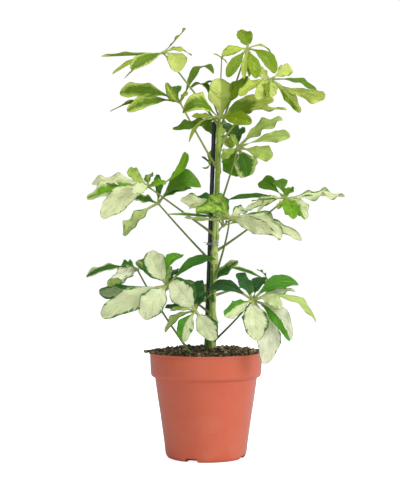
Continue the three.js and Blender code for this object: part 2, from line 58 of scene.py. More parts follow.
# %% Camera
SENSOR, LENS = 36, 90.08  # in millimetres
CAMERA_DISTANCE = 1.34
CAMERA_SIDE, CAMERA_HEIGHT = -0.0064, 0.2214
camera_data = bpy.data.cameras.new("camera")
camera_data.sensor_width = SENSOR
camera_data.lens = LENS
camera_data.clip_start = 0.05
camera = bpy.data.objects.new("camera", camera_data)
camera.location = (CAMERA_SIDE, -CAMERA_DISTANCE, CAMERA_HEIGHT)
camera.rotation_euler = (math.radians(90), 0, 0)
bpy.context.scene.collection.objects.link(camera)
bpy.context.scene.camera = camera
bpy.context.scene.view_settings.view_transform = "Standard"
print("frame height at the plant, in metres:", round(SENSOR / LENS * CAMERA_DISTANCE, 4))


# %% Short hands for shader nodes
def node(tree, kind, inputs=(), out=0, **settings):
    """Adds a shader node, sets or links its inputs, and returns one of its outputs."""
    made = tree.nodes.new(kind)
    for name, value in settings.items():
        setattr(made, name, value)
    for key, value in dict(inputs).items():
        if isinstance(value, bpy.types.NodeSocket):
            tree.links.new(value, made.inputs[key])
        else:
            made.inputs[key].default_value = value
    return made.outputs[out] if made.outputs else made


def calc(tree, how, a, b=0.5, c=0.0):
    """One Math node: how is its operation, and each value is a number or a socket."""
    return node(tree, "ShaderNodeMath", {0: a, 1: b, 2: c}, operation=how)


def blend(tree, share, a, b, how="MIX"):
    """Colour a where share is 0, and colour b where it is 1."""
    kit = {"Factor": share, 6: a, 7: b}
    return node(tree, "ShaderNodeMix", kit, out=2, data_type="RGBA", blend_type=how)


def ease(tree, value, low, high):
    """0 below low, 1 above high, and a smooth step between them."""
    kit = {"Value": value, 1: low, 2: high}
    return node(tree, "ShaderNodeMapRange", kit, interpolation_type="SMOOTHSTEP")


def rgb(red, green, blue):
    """A display colour from 0 to 255 as the linear colour that a shader wants."""
    share = np.array([red, green, blue]) / 255
    linear = np.where(share <= 0.04045, share / 12.92, ((share + 0.055) / 1.055) ** 2.4)
    return (*[float(v) for v in linear], 1.0)


def new_material(name):
    """An empty material: its node tree, its Principled shader and its own object coordinates."""
    material = bpy.data.materials.new(name)
    material.use_nodes = True
    tree = material.node_tree
    shader = tree.nodes["Principled BSDF"]
    place = node(tree, "ShaderNodeTexCoord", out=3)
    return material, tree, shader, place


print("shader short hands ready")

# %% Floor
FLOOR_SIZE = 6.0
FLOOR_HEIGHT = -0.0003  # just under the pot's foot, so that the two faces don't fight
floor_mesh = bpy.data.meshes.new("floor")
corners = [(-1, -1), (1, -1), (1, 1), (-1, 1)]
floor_mesh.from_pydata(
    [(x * FLOOR_SIZE / 2, y * FLOOR_SIZE / 2, FLOOR_HEIGHT) for x, y in corners], [], [range(4)])
floor = bpy.data.objects.new("floor", floor_mesh)
bpy.context.scene.collection.objects.link(floor)
floor_paper, tree, shader, _ = new_material("floor_paper")
shader.inputs["Base Color"].default_value = rgb(240, 240, 240)
shader.inputs["Roughness"].default_value = 0.9
shader.inputs["Specular IOR Level"].default_value = 0.1
shader.inputs["Emission Color"].default_value = (1, 1, 1, 1)
seen = node(tree, "ShaderNodeLightPath", out="Is Camera Ray")
tree.links.new(calc(tree, "MULTIPLY", seen, 0.85), shader.inputs["Emission Strength"])
floor_mesh.materials.append(floor_paper)

# %% [markdown]
# The light of the picture is a white studio: a big soft lamp high at the front right, a weaker one
# overhead, a weak one low in front, another behind, and white all round. The sky shows white to
# the camera but lights the plant with less, so that the round pot still turns from light on its
# right to shade on its left.

# %% Sky and lamps
SKY_SEEN, SKY_LIGHT = 1.02, 0.39  # how bright the sky looks, and how much it lights
world = bpy.data.worlds.new("white_studio")
bpy.context.scene.world = world
world.use_nodes = True
sky = world.node_tree
sky.nodes.clear()
camera_ray = node(sky, "ShaderNodeLightPath", out="Is Camera Ray")
strength = calc(sky, "MULTIPLY_ADD", camera_ray, SKY_SEEN - SKY_LIGHT, SKY_LIGHT)
background = node(sky, "ShaderNodeBackground", {"Color": (1, 1, 1, 1), "Strength": strength})
node(sky, "ShaderNodeOutputWorld", {"Surface": background})


def lamp(name, place, aim, size, watts):
    """A square soft lamp that looks from its place at a point, in metres."""
    data = bpy.data.lights.new(name, "AREA")
    data.size = size
    data.energy = watts
    made = bpy.data.objects.new(name, data)
    made.location = place
    made.rotation_euler = (made.location - Vector(aim)).to_track_quat("Z", "Y").to_euler()
    bpy.context.scene.collection.objects.link(made)


lamp("key_lamp", (1.35, -0.85, 1.0), (0, 0, 0.22), 1.0, 21)
lamp("top_lamp", (0.1, -0.35, 1.6), (0, 0, 0.25), 0.8, 8)
lamp("fill_lamp", (-0.5, -1.9, 0.1), (0, 0, 0.2), 0.9, 7)
lamp("back_lamp", (0.5, 1.9, 0.8), (0, 0, 0.25), 0.9, 7)

# %% [markdown]
# ## Surfaces from arrays
#
# Nearly every piece here is a skin carried along a path: a leaflet, a stalk, the stem, the pot.
# Such a skin is a grid of points, one row for each ring. It could be modelled by hand or made
# from curves with a bevel, but a formula on a grid keeps each shape exact and easy to change.
# The next cell turns any such grid into a closed shell whose faces point outwards.

# %% A closed shell from rings
def shell(rings, **values):
    """Skins a grid of rings (rows, points on a ring, xyz) and closes both ends with a fan.

    values are attributes, each an array on the same grid or one value for the whole shell.
    Returns a dict with the points, the quads, the triangles and the attributes. Should the shell
    come out with a negative volume, every face is turned round.
    """
    rows, around, _ = rings.shape
    points = np.concatenate([rings.reshape(-1, 3), rings[:1].mean(1), rings[-1:].mean(1)])
    row, column = np.meshgrid(np.arange(rows - 1), np.arange(around), indexing="ij")
    after = (column + 1) % around
    quads = np.stack([row * around + column, row * around + after,
                      (row + 1) * around + after, (row + 1) * around + column], -1).reshape(-1, 4)
    turn = np.arange(around)
    following = (turn + 1) % around
    last = (rows - 1) * around
    first_fan = np.stack([following, turn, np.full(around, rows * around)], -1)
    last_fan = np.stack([last + turn, last + following, np.full(around, rows * around + 1)], -1)
    triangles = np.concatenate([first_fan, last_fan])
    corners = np.concatenate([quads[:, :3], quads[:, [0, 2, 3]], triangles])
    a, b, c = (points[corners[:, k]] for k in range(3))
    if np.einsum("ij,ij->i", a, np.cross(b, c)).sum() < 0:
        quads, triangles = quads[:, ::-1], triangles[:, ::-1]
    filled = {}
    for name, value in values.items():
        value = np.asarray(value, float)
        tail = value.shape[2:] if value.ndim >= 2 and value.shape[:2] == (rows, around) else value.shape
        grid = np.broadcast_to(value, (rows, around, *tail))
        flat = grid.reshape(rows * around, *tail)
        filled[name] = np.concatenate([flat, grid[:1].mean(1), grid[-1:].mean(1)])
    return {"points": points, "quads": quads, "triangles": triangles, "values": filled}


def together(shells):
    """Several shells as one, each one's faces counted on from the points before it."""
    steps = np.cumsum([0] + [len(s["points"]) for s in shells[:-1]])
    names = shells[0]["values"].keys()
    return {
        "points": np.concatenate([s["points"] for s in shells]),
        "quads": np.concatenate([s["quads"] + k for s, k in zip(shells, steps)]),
        "triangles": np.concatenate([s["triangles"] + k for s, k in zip(shells, steps)]),
        "values": {n: np.concatenate([s["values"][n] for s in shells]) for n in names},
    }


# %% From shells to an object
def piece(name, shells, materials, replaces=()):
    """Makes one smooth object of the shells, in metres, on the root body.

    shells is a list, or a list of lists with one list for each material.
    """
    groups = shells if isinstance(shells[0], list) else [shells]
    made = [together(group) for group in groups]
    whole = together(made)
    corners = np.concatenate([whole["quads"].ravel(), whole["triangles"].ravel()])
    sizes = np.repeat([4, 3], [len(whole["quads"]), len(whole["triangles"])])
    skins = np.concatenate(
        [np.repeat(np.arange(len(made)), [len(m[kind]) for m in made]) for kind in ("quads", "triangles")])
    mesh = bpy.data.meshes.new(name)
    mesh.vertices.add(len(whole["points"]))
    mesh.vertices.foreach_set("co", (whole["points"] * 0.001).astype(np.float32).ravel())
    mesh.loops.add(len(corners))
    mesh.loops.foreach_set("vertex_index", corners.astype(np.int32))
    mesh.polygons.add(len(sizes))
    mesh.polygons.foreach_set("loop_start", (np.cumsum(sizes) - sizes).astype(np.int32))
    mesh.polygons.foreach_set("material_index", skins.astype(np.int32))
    mesh.polygons.foreach_set("use_smooth", np.ones(len(sizes), bool))
    mesh.update(calc_edges=True)
    for label, value in whole["values"].items():
        kind, field = ("FLOAT_VECTOR", "vector") if value.ndim == 2 else ("FLOAT", "value")
        mesh.attributes.new(label, kind, "POINT").data.foreach_set(
            field, value.astype(np.float32).ravel())
    for material in materials:
        mesh.materials.append(material)
    made_object = bpy.data.objects.new(name, mesh)
    bpy.context.scene.collection.objects.link(made_object)
    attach(made_object, "root")
    if replaces:
        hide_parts(*replaces)
    print(f"{name}: {len(sizes)} faces")
    return made_object


# %% Paths and rods
def unit(v):
    """v with its last axis scaled to length 1."""
    return v / np.maximum(np.linalg.norm(v, axis=-1, keepdims=True), 1e-9)


def smooth(value, low, high):
    """0 below low, 1 above high, and 3t^2 - 2t^3 between them."""
    t = np.clip((value - low) / (high - low), 0, 1)
    return t * t * (3 - 2 * t)


def ball_directions(t, a):
    """(sin t cos a, sin t sin a, cos t), with t measured down from the pole and a round it."""
    return np.stack(np.broadcast_arrays(np.sin(t) * np.cos(a), np.sin(t) * np.sin(a), np.cos(t)), -1)


def bezier(start, middle, end, share):
    """The quadratic curve (1-t)^2 start + 2t(1-t) middle + t^2 end at each share t."""
    t = share[:, None]
    return (1 - t) ** 2 * np.array(start) + 2 * t * (1 - t) * np.array(middle) + t * t * np.array(end)


def rod(path, radius, sides=14, side=(0.31, 0.9, 0.2), **values):
    """A round rod along a path: each ring is centre + radius (cos a, sin a) square to the path.

    radius is one number, a column for the rows, or a whole grid of rows by sides.
    """
    path = np.asarray(path, float)
    along = unit(np.gradient(path, axis=0))
    first = unit(np.cross(along, np.array(side)))
    second = np.cross(along, first)
    turn = np.linspace(0, 2 * np.pi, sides, endpoint=False)[None, :, None]
    radius = np.asarray(radius, float)
    radius = radius[..., None] if radius.ndim == 2 else radius.reshape(-1, 1, 1)
    rings = path[:, None] + radius * (np.cos(turn) * first[:, None] + np.sin(turn) * second[:, None])
    return shell(rings, **values)


print("shapes ready")

# %% [markdown]
# ## The leaves
#
# Each leaf is an umbrella: a long stalk from the stem ends in a hub, where 3 to 12 leaflets meet.
# The crown is lime and yellow, and the older leaves lower down are cream with dark green edges.
#
# The table below lists them from the crown down, each over its own solid. A leaf has the height
# where its stalk leaves the stem (or the point where it leaves the soil), the hub, the way the
# umbrella opens, and how far its stalk bows up (or the point it bows towards). A leaflet has its
# tip from the hub, its width, how far it arches and sways, the angle between its upper face and
# -Y (None: it faces the way the umbrella opens), its look, and its form where that isn't the
# usual one.

# %% The looks
# A look says where the pale part of a blade lies, and how deep its green and its cream are. Its
# eight numbers are core (1 is a pale middle and -1 a pale edge), margin (the width of the outer
# colour as a share of the half width, which covers the whole blade from about 1.3 up), shift (how
# far the pale part moves across the blade), paler (how much paler the tip is), splash (how much of
# the other colour is sprinkled in), band (the width of the middle green between the two), deep
# (from fresh to dark green) and cream (from lime to ivory).
LOOKS = {
    "cream": (1, 0.08, 0.0, 0.0, 0.4, 0.06, 0.9, 0.68),
    "white": (1, 0.03, 0.0, 0.1, 0.15, 0.04, 0.8, 1.1),
    "mottled_cream": (1, 0.2, 0.1, 0.1, 2.2, 0.15, 0.8, 0.95),
    "cream_dark_right": (1, 0.13, -0.18, 0.1, 0.4, 0.06, 0.95, 0.7),
    "cream_dark_left": (1, 0.13, 0.18, 0.1, 0.4, 0.06, 0.95, 0.7),
    "pale_lime": (1, 0.02, 0.0, 0.15, 0.2, 0.1, 0.6, 0.5),
    "lime": (1, 0.05, 0.0, 0.1, 0.4, 0.12, 0.6, 0.25),
    "lime_edge": (1, 0.22, 0.1, 0.1, 0.6, 0.15, 0.6, 0.2),
    "mottled": (1, 0.7, 0.0, 0.2, 1.2, 0.4, 0.7, 0.2),
    "green_right": (1, 0.78, -0.9, 0.0, 0.4, 0.12, 0.3, 0.6),
    "grey_right": (1, 0.85, -0.9, 0.0, 0.4, 1.3, 0.45, 0.7),
    "grey": (1, 1.3, 0.0, 0.0, 0.1, 0.9, 0.8, 0.8),
    "green": (1, 1.4, 0.0, 0.0, 0.3, 0.35, 0.3, 0.0),
    "leaf_green": (1, 1.6, 0.0, 0.0, 0.1, 0.15, 0.55, 0.2),
    "dark": (1, 1.8, 0.0, 0.0, 0.1, 0.1, 0.85, 0.4),
    "teal": (1, 2.0, 0.0, 0.0, 0.0, 0.1, 1.15, 0.4),
    "core": (-1, 0.22, 0.0, 0.3, 0.4, 0.12, 0.7, 0.5),
    "core_tip": (-1, 0.1, 0.0, 0.8, 0.5, 0.3, 0.7, 0.4),
    "core_base": (-1, 0.5, 0.3, 4.0, 0.4, 0.3, 0.6, 0.35),
    "dark_tip": (1, 1.9, 0.0, 4.0, 0.3, 0.25, 0.6, 0.35),
    "lime_in_cream": (-1, 0.3, 0.0, 0.3, 0.6, 0.2, 0.1, 0.9),
    "bright": (1, 1.3, 0.0, 0.1, 0.35, 0.4, 0.1, 0.0),
    "lime_blots": (1, 0.06, 0.0, 0.2, 1.3, 0.1, 0.7, 0.4),
    "olive_cream": (1, 0.08, 0.1, 0.0, 0.9, 0.1, 0.85, 0.6),
    "cream_green_right": (1, 0.72, -0.9, 0.0, 0.4, 0.12, 0.2, 1.0),
    "white_green_right": (1, 0.7, -0.9, 0.0, 0.3, 0.14, 0.15, 1.3),
}

# A form says how a blade is cut and bent. Its eight numbers are belly (where it is widest: 1 is its
# middle, and more is nearer the tip), ruffle (the waves of its edges), lobes (the depth of the cuts
# near its tip), fold (how far its edges rise), curl (how far its tip bends down, as a share of its
# length), twist (the most that it may turn from base to tip, in degrees), hook (how much of its
# arch sits just before the tip) and point (how sharp the tip is: 0 is round, and less is blunt).
FORMS = {
    "plain": (1.25, 1.3, 0.4, 0.2, 0.04, 0, 0, 0.1),
    "smooth": (1.35, 0.35, 0.0, 0.2, 0.05, 0, 0, 0.1),
    "oval": (1.05, 0.8, 0.1, 0.14, 0.03, 0, 0, 0.1),
    "broad": (0.86, 0.9, 0.3, 0.2, 0.02, 0, 0, 0.1),
    "straight": (1.2, 0.3, 0.0, 0.25, 0.01, 0, 0, 0.4),
    "paddle": (1.75, 1.2, 0.4, 0.2, 0.04, 0, 0, 0.0),
    "spoon": (2.6, 2.0, 1.0, 0.2, 0.04, 10, 0, 0.0),
    "blunt": (1.9, 1.2, 0.5, 0.12, 0.02, 0, 0, -0.1),
    "lobed": (1.45, 1.7, 1.1, 0.2, 0.04, 12, 0, 0.0),
    "frilled": (1.2, 2.4, 1.1, 0.3, 0.04, 20, 0, 0.1),
    "hooked": (1.75, 0.6, 0.1, 0.3, 0.04, 0, 1, -0.2),
    "wedge": (2.6, 0.4, 0.1, 0.16, 0.02, 0, 0, -0.2),
}

# %% The leaves, from the crown down
LEAVES = [
    ("crown_left", 354, (-46, 8, 434), (0, -0.15, 1), 1, [
        (-66, -12, -5, 17, -1, 0, 70, "dark_tip", "straight"),
        (-53, -25, -26, 13, 3, 0, 62, "lime", "straight"),
        (-44, 20, -24, 10, 2, 0, 76, "core", "straight"),
        (-32, -40, -22, 17, 4, -2, 36, "core", "smooth"),
        (23, 12, 29, 12, -1, 0, 66, "green", "paddle"),
        (30, 20, 1, 13, 5, 0, 58, "lime", "oval"),
        (16, -42, -26, 20, 4, -6, 22, "pale_lime", "smooth"),
    ]),
    ("crown_right", 346, (45, 12, 439), (0.05, -0.3, 1), (29, 15, 392), [
        (-9, 12, 22, 16, 1, 3, 15, "green", "broad"),
        (-27, -10, -8, 12, 2, 1, 30, "lime_edge", "smooth"),
        (-22, -22, -33, 12, 2, 1, 15, "green", "smooth"),
        (-5, -28, -36, 7, 2, 0, 20, "lime", "straight"),
        (1, -22, -33, 6.5, 2, 0, 20, "lime_edge", "straight"),
        (8, -28, -35, 13, 2, -1, 10, "bright", "smooth"),
        (29, -16, -28, 15, 5, -4, 20, "green", "smooth"),
        (27, 12, -5, 8, 7, 0, 65, "lime_edge", "straight"),
    ]),
    ("shoot_tip", 361, (17, 10, 429), (0, -0.4, 1), 0, [
        (-9, -2, 4, 3.5, 0.5, 0, None, "lime", "straight"),
        (6, 2, -6, 4, 0.5, 0, None, "lime", "straight"),
        (3, 6, 7, 3, 0.5, 0, None, "lime", "straight"),
        (5, 5, 4, 3, 0.5, 0, None, "lime", "straight"),
    ]),
    ("upper_right", 333, (69, 2, 404), (0.15, -0.6, 0.8), 1, [
        (23, 12, 15, 15, 1, 0, 15, "pale_lime", "blunt"),
        (52, 14, -10, 12, 7, 0, 40, "dark", "paddle"),
        (58, -8, -19, 16, -2, 3, 20, "lime_blots", "spoon"),
        (30, -26, -37, 13, 2, -2, 15, "green_right", "lobed"),
        (-2, -40, -23, 16, 2, 0, 10, "green_right"),
        (-16, -40, -25, 15, 3, 1, 10, "pale_lime"),
        (-33, -32, -20, 15, 3, 3, 15, "lime", "lobed"),
        (-16, -10, 10, 12, 1, 0, 15, "pale_lime"),
    ]),
    ("upper_left", 307, (-28, 2, 380), (-0.1, -0.4, 0.9), -1, [
        (-63, -14, 9, 19, 2, 6, 15, "core_tip", "paddle"),
        (-55, -24, -11, 14, 3, 5, 20, "core_tip", "paddle"),
        (-76, 6, -7, 8, 6, 1, 60, "core"),
        (-14, -18, 18, 12, 2, -4, 25, "mottled", "broad"),
        (-4, 24, 21, 13, 2, -3, 20, "dark", "blunt"),
        (9, -10, 9, 7, 2, 0, 40, "lime_edge"),
        (36, 44, 38, 16, 15, 0, 58, "leaf_green", "hooked"),
    ]),
    ("crown_front", 350, (15, -9, 362), (0, -0.3, 1), 0, [
        (0, 6, 43, 26, 2, 0, 5, "grey_right", "oval"),
        (-39, -21, 4, 24, 16, 2, 35, "core", "hooked"),
        (-30, -10, 1, 7, 1, 0, 40, "lime_edge"),
        (-50, -13, -12, 12, 0, -1, 30, "dark", "frilled"),
        (-33, -29, -28, 7, 9, 0, 60, "lime", "straight"),
        (56, -13, 18, 18, 2, -3, 15, "core_base", "broad"),
        (31, -33, -8, 15, 3, -1, 15, "bright", "smooth"),
        (30, 10, 46, 16, 3, -2, 25, "green"),
        (-32, 26, 34, 12, 14, 0, 70, "dark", "hooked"),
        (-18, 20, 37, 11, 15, 0, 60, "dark", "hooked"),
        (70, -6, 9, 13, 3, -2, 35, "cream", "frilled"),
    ]),
    ("upper_mid_right", 256, (34, -10, 330), (0.1, -0.3, 0.9), (24, -26, 294), [
        (46, -10, 30, 18, 3, -3, 15, "lime", "lobed"),
        (53, -22, 12, 14, 3, -1, 25, "lime", "spoon"),
        (35, -20, -11, 18, 1, -1, 10, "lime", "blunt"),
        (-5, 18, -29, 22, 2, 3, 5, "green", "oval"),
        (10, 14, -30, 25, 2, -2, 5, "core", "oval"),
        (-18, 2, -11, 12, 2, 0, 20, "lime"),
        (-12, 40, 32, 18, 3, 0, 30, "dark", "oval"),
        (3, 34, 25, 17, 4, 0, 30, "dark", "oval"),
        (-7, 10, 16, 6.5, 1, 0, 20, "lime"),
    ]),
    ("mid_left", 237, (-61, -28, 288), (-0.1, -0.5, 0.85), 0, [
        (-58, -6, 3, 17, 3, 4, 14, "white", "lobed"),
        (-62, -18, -13, 20, 4, 4, 16, "lime_in_cream", "lobed"),
        (-20, 12, 21, 12, 4, -3, 15, "lime"),
        (-15, 18, 21, 5.5, 1, -3, 40, "white", "straight"),
        (-46, -30, -32, 23, 4, 5, 5, "white", "oval"),
        (-14, -36, -7, 13, 3, 0, 25, "white"),
        (2, 20, 15, 11, 2, 0, 30, "mottled"),
        (19, -12, 3, 10, 3, 0, 35, "bright"),
        (40, 10, 37, 12, -3, 11, 35, "bright", "wedge"),
    ]),
    ("mid_left_low", 206, (-51, -6, 271), (0.05, -0.3, 0.95), -1, [
        (45, -10, 19, 26, 13, -7, 32, "leaf_green", "hooked"),
        (35, -4, 17, 9, 6, -1, 40, "core"),
        (-35, -24, -34, 16, 2, 4, 10, "olive_cream", "lobed"),
        (-26, 20, 8, 12, 1, 0, 35, "core"),
        (-1, 22, 33, 10, 1, 0, 30, "dark"),
    ]),
    ("mid_front", 186, (24, -42, 254), (0.05, -0.4, 0.9), (24, -24, 236), [
        (-34, -24, 7, 20, 6, 6, 15, "mottled", "lobed"),
        (-19, -12, 24, 21, 3, 2, 10, "mottled", "lobed"),
        (-65, -8, 5, 6, 1, -1, 60, "core_tip", "straight"),
        (-47, 20, 3, 9, -3, 0, 50, "cream"),
        (-50, 8, 22, 16, 4, 1, 15, "white", "lobed"),
        (-42, 4, 10, 8, 8, 0, 40, "cream", "hooked"),
        (-39, 32, 24, 12, 8, 0, 50, "teal"),
        (41, -30, -14, 17, 2, -1, 10, "white"),
        (54, -6, -19, 22, 5, -8, 20, "mottled_cream", "lobed"),
        (76, 4, -21, 12, 4, -5, 25, "mottled_cream", "lobed"),
        (18, 24, 11, 13, 3, 0, 35, "mottled_cream"),
    ]),
    ("mid_right", 219, (85, -8, 276), (0.1, -0.4, 0.9), -2, [
        (-61, -6, -1, 11, 3, 0, 64, "dark", "straight"),
        (-24, 28, 22, 18, 2, 0, 10, "leaf_green", "wedge"),
        (-7, 24, 22, 17, 2, 0, 10, "leaf_green", "wedge"),
        (6, 12, 13, 13, 2, 0, 20, "green"),
        (64, 8, 3, 18, 2, -1, 20, "mottled_cream", "frilled"),
        (18, -30, -22, 17, 4, -4, 10, "cream_green_right"),
        (5, -38, -21, 19, 4, 0, 10, "bright"),
        (-43, -26, -11, 11, 4, 2, 30, "mottled_cream", "frilled"),
        (-37, -22, -3, 7, 3, 0, 30, "mottled", "frilled"),
        (-31, -26, -15, 9, 5, 4, 25, "cream", "frilled"),
        (-9, -14, -11, 8, 1, 0, 20, "lime"),
    ]),
    ("mid_back", 236, (19, 34, 248), (0, 0.3, 0.95), 1, [
        (-24, 6, 16, 17, 3, 0, None, "green"),
        (-6, 30, 22, 18, 4, 0, None, "lime_edge"),
        (22, 30, 4, 17, 4, 0, None, "green"),
        (36, 6, 2, 15, 3, 0, None, "lime_edge", "lobed"),
        (-28, 34, 16, 15, 4, 0, None, "dark"),
    ]),
    ("low_left", 152, (-40, -50, 185), (-0.1, -0.6, 0.8), 2, [
        (-19, 5, 35, 24, 3, -2, 8, "cream_dark_left", "oval"),
        (-67, -14, -31, 24, 4, 2, 10, "cream", "oval"),
        (-24, -22, -33, 26, 5, 1, 10, "cream", "oval"),
        (50, 38, 29, 16, 9, 0, 46, "leaf_green", "smooth"),
        (14, 10, 32, 15, 14, 0, 34, "bright", "wedge"),
        (-32, 15, 26, 16, 2, 1, 35, "mottled"),
        (10, 24, 17, 12, 2, 0, 40, "dark"),
        (3, 10, 20, 8, 1, 0, 30, "lime"),
        (-73, 22, -7, 16, 1, -3, 15, "grey", "paddle"),
    ]),
    ("low_left_outer", (-9, -42, 104), (-72, -28, 201), (-0.2, -0.4, 0.9), (-56, -37, 169), [
        (-53, -8, -6, 12, 7, 0, 50, "core", "paddle"),
        (-24, -32, -6, 16, 3, -1, 25, "mottled_cream", "frilled"),
        (-31, -8, -16, 13, 3, -2, 35, "lime_edge"),
        (-22, 30, 2, 15, 4, 0, None, "green"),
    ]),
    ("low_front", 134, (-11, -48, 158), (0, -0.6, 0.8), 1, [
        (-24, -8, 31, 26, 3, 1, 5, "cream_dark_right", "oval"),
        (-13, -14, -30, 17, 3, 3, 15, "green_right", "oval"),
        (20, -16, -28, 21, 4, 0, 10, "cream_dark_left", "oval"),
        (-32, 0, -21, 10, 3, 5, 40, "lime_edge"),
        (-32, 18, 4, 9, 3, 0, 45, "teal"),
        (4, 26, 32, 16, 3, 0, 25, "teal"),
        (12, 20, 20, 12, 3, 0, 35, "teal"),
        (-26, -5, 2, 6, 4, 0, 40, "lime_edge"),
    ]),
    ("low_right", 121, (48, -46, 169), (0.1, -0.6, 0.8), -1.5, [
        (-46, 30, 12, 17, 10, 0, 46, "teal", "smooth"),
        (-49, 26, 1, 6.5, 12, 0, 65, "lime", "straight"),
        (-14, 16, 29, 14, 2, 0, 25, "teal"),
        (10, 30, 24, 15, 1, 0, 30, "teal", "wedge"),
        (48, 16, 19, 18, 8, -3, 42, "green", "smooth"),
        (45, 12, 11, 8, 4, 0, 45, "cream", "frilled"),
        (29, -14, -6, 16, 5, -4, 30, "pale_lime", "blunt"),
        (67, 10, -22, 13, 17, -5, 42, "lime", "blunt"),
        (2, -34, -38, 26, 5, 0, 5, "cream", "oval"),
        (38, -20, -39, 18, 5, -8, 12, "white_green_right", "oval"),
        (13, -14, -64, 25, 4, -8, 8, "white", "oval"),
        (-29, -26, -14, 17, 3, 1, 20, "green_right", "lobed"),
    ]),
    ("low_right_back", 172, (68, 34, 188), (0.2, 0.25, 0.9), 1, [
        (-41, -6, 15, 10, 1, 0, 68, "core", "straight"),
        (-11, 8, 12, 8, 2, 0, None, "green"),
        (20, 46, -16, 18, 6, 0, None, "mottled"),
        (8, 32, -30, 18, 6, 0, None, "core"),
        (-16, 48, -14, 18, 5, 0, None, "green"),
    ]),
    ("low_back", 170, (0, 48, 182), (0, 0.4, 0.9), 1, [
        (35, -8, 28, 13, 0, 0, 50, "core_tip"),
        (-50, 12, -6, 17, 6, 0, None, "mottled"),
        (-38, 40, -14, 18, 6, 0, None, "green"),
        (-8, 54, -22, 20, 6, 0, None, "lime_edge", "lobed"),
        (38, 24, -8, 17, 5, 0, None, "core"),
    ]),
    ("upper_small", 312, (4, 14, 316), (-0.2, 0.2, 1), (11, 15, 316), [
        (-9, 2, 7, 5.5, 0, 0, 60, "dark", "straight"),
        (-9, 0, -5, 6.5, -4, 0, 75, "green", "straight"),
        (-2, 12, 4, 6, 1, 0, None, "green", "straight"),
    ]),
    ("upper_back", 320, (20, 38, 343), (0, 0.35, 0.9), 1, [
        (-24, -10, 17, 13, 3, 0, 30, "dark"),
        (18, -4, 10, 16, 3, 0, None, "green"),
        (-6, 44, 18, 18, 5, 0, None, "lime_edge", "lobed"),
        (10, 46, -4, 18, 5, 0, None, "core"),
        (-14, 30, -26, 14, 5, 0, None, "mottled"),
    ]),
]
print(len(LEAVES), "leaves,", sum(len(leaf[5]) for leaf in LEAVES), "leaflets")

# %% [markdown]
# ### One leaflet
#
# A leaflet is a thin leathery blade on a short round stalk. The blade is narrow at its base and
# widest past its middle, its edge is gently scalloped, it folds up along the midrib, arches over
# its length, curls down at the tip and ruffles along both edges. A flat plane with bends in it
# would be quicker, but it has no thickness where an edge catches the light. So a closed ring is
# carried along the midrib, and it passes from the round stalk to the flat blade as it goes.

# %% Leaflet sizes
STALK_SHARE = 0.16  # the stalk's share of a leaflet
STALK_RADIUS = 0.7
BLADE_HALF = 0.26  # half the thickness of a blade
HALF_WIDTH = 0.56  # the widest half of a blade, as a share of the width in the table
WAVE, WAVES = 0.19, 2.6  # how far an edge ruffles, as a share of the half width, and how often
RIPPLE, RIPPLES = 0.03, 5.3  # the same for the finer ripples on it
NOTCH, NOTCH_RATE = 0.15, 13  # depth of the scallops, likewise, and how fast their sine turns
TOOTH, TOOTH_RATE = 0.03, 34
LOBE, LOBE_RATE = 0.2, 19

# %% The ring that every leaflet shares
# The rows crowd together towards the tip. ALONG is the share of the way along the blade, FLAT goes
# from 0 on the round stalk to 1 on the blade, ACROSS is the place across the blade from -1 to 1,
# FACE is 1 on the upper face and -1 below, and SIDE is the side of the midrib.
blade_rows = 1 - (1 - np.linspace(0, 1, 34)) ** 1.7
ROWS = np.concatenate([
    np.linspace(0, STALK_SHARE, 6, endpoint=False), STALK_SHARE + (1 - STALK_SHARE) * blade_rows])[:, None]
TURN = np.linspace(0, 2 * np.pi, 32, endpoint=False)[None, :]
ALONG = np.clip((ROWS - STALK_SHARE) / (1 - STALK_SHARE), 0, 1)
FLAT = smooth(ALONG, 0, 0.1)
ACROSS = np.sign(np.cos(TURN)) * np.abs(np.cos(TURN)) ** 1.35
FACE = np.sign(np.sin(TURN)) * np.abs(np.sin(TURN)) ** 0.5
SIDE = np.where(ACROSS > 0, 1.0, -1.0)
print("a leaflet is a grid of", len(ROWS), "by", TURN.size)


# %% Directions and small differences
def draw(number, salt):
    """A fixed number from 0 to 1 for each leaflet: the fraction of a large sine."""
    return math.sin(number * 12.9898 + salt * 78.233) * 43758.5453 % 1


def upper_face(forward, opens, angle):
    """The way a blade's upper face looks: angle degrees round from -Y towards the open side."""
    if angle is None:
        return unit(opens - forward * (opens @ forward))
    front = unit(np.array([0, -1.0, 0]) + forward * forward[1])
    side = np.cross(forward, front)
    side = side if side @ opens >= 0 else -side
    return front * math.cos(math.radians(angle)) + side * math.sin(math.radians(angle))


# %% The outline and relief of a blade
def bite(rate, phase, lag):
    """A sine from 0 to 1 along the blade that starts elsewhere on either side of the midrib."""
    return 0.5 + 0.5 * np.sin(rate * ALONG + phase + lag * SIDE)


def half_width(width, phase, belly, ruffle, lobes, point):
    """Half the width at each share b along: 0.56 width outline(b) (1 - cuts), plus the stalk's.

    outline = sin(pi b^belly)^(0.72 + (0.45 point - 0.3) b^2). cuts adds up scallops that grow with
    the ruffle, fine teeth, and lobes near the tip.
    """
    outline = np.maximum(np.sin(np.pi * ALONG ** belly), 0) ** (0.72 + (0.45 * point - 0.3) * ALONG ** 2)
    cuts = NOTCH * min(ruffle, 1.4) * bite(NOTCH_RATE, phase, 0.7)
    cuts = cuts + TOOTH * smooth(ALONG, 0.15, 0.4) * bite(TOOTH_RATE, 2 * phase, 2.1)
    cuts = cuts + LOBE * lobes * smooth(ALONG, 0.45, 0.8) * bite(LOBE_RATE, 1.7 * phase, 2.4)
    return HALF_WIDTH * width * outline * (1 - cuts) + (0.05 * width + STALK_RADIUS) * (1 - FLAT)


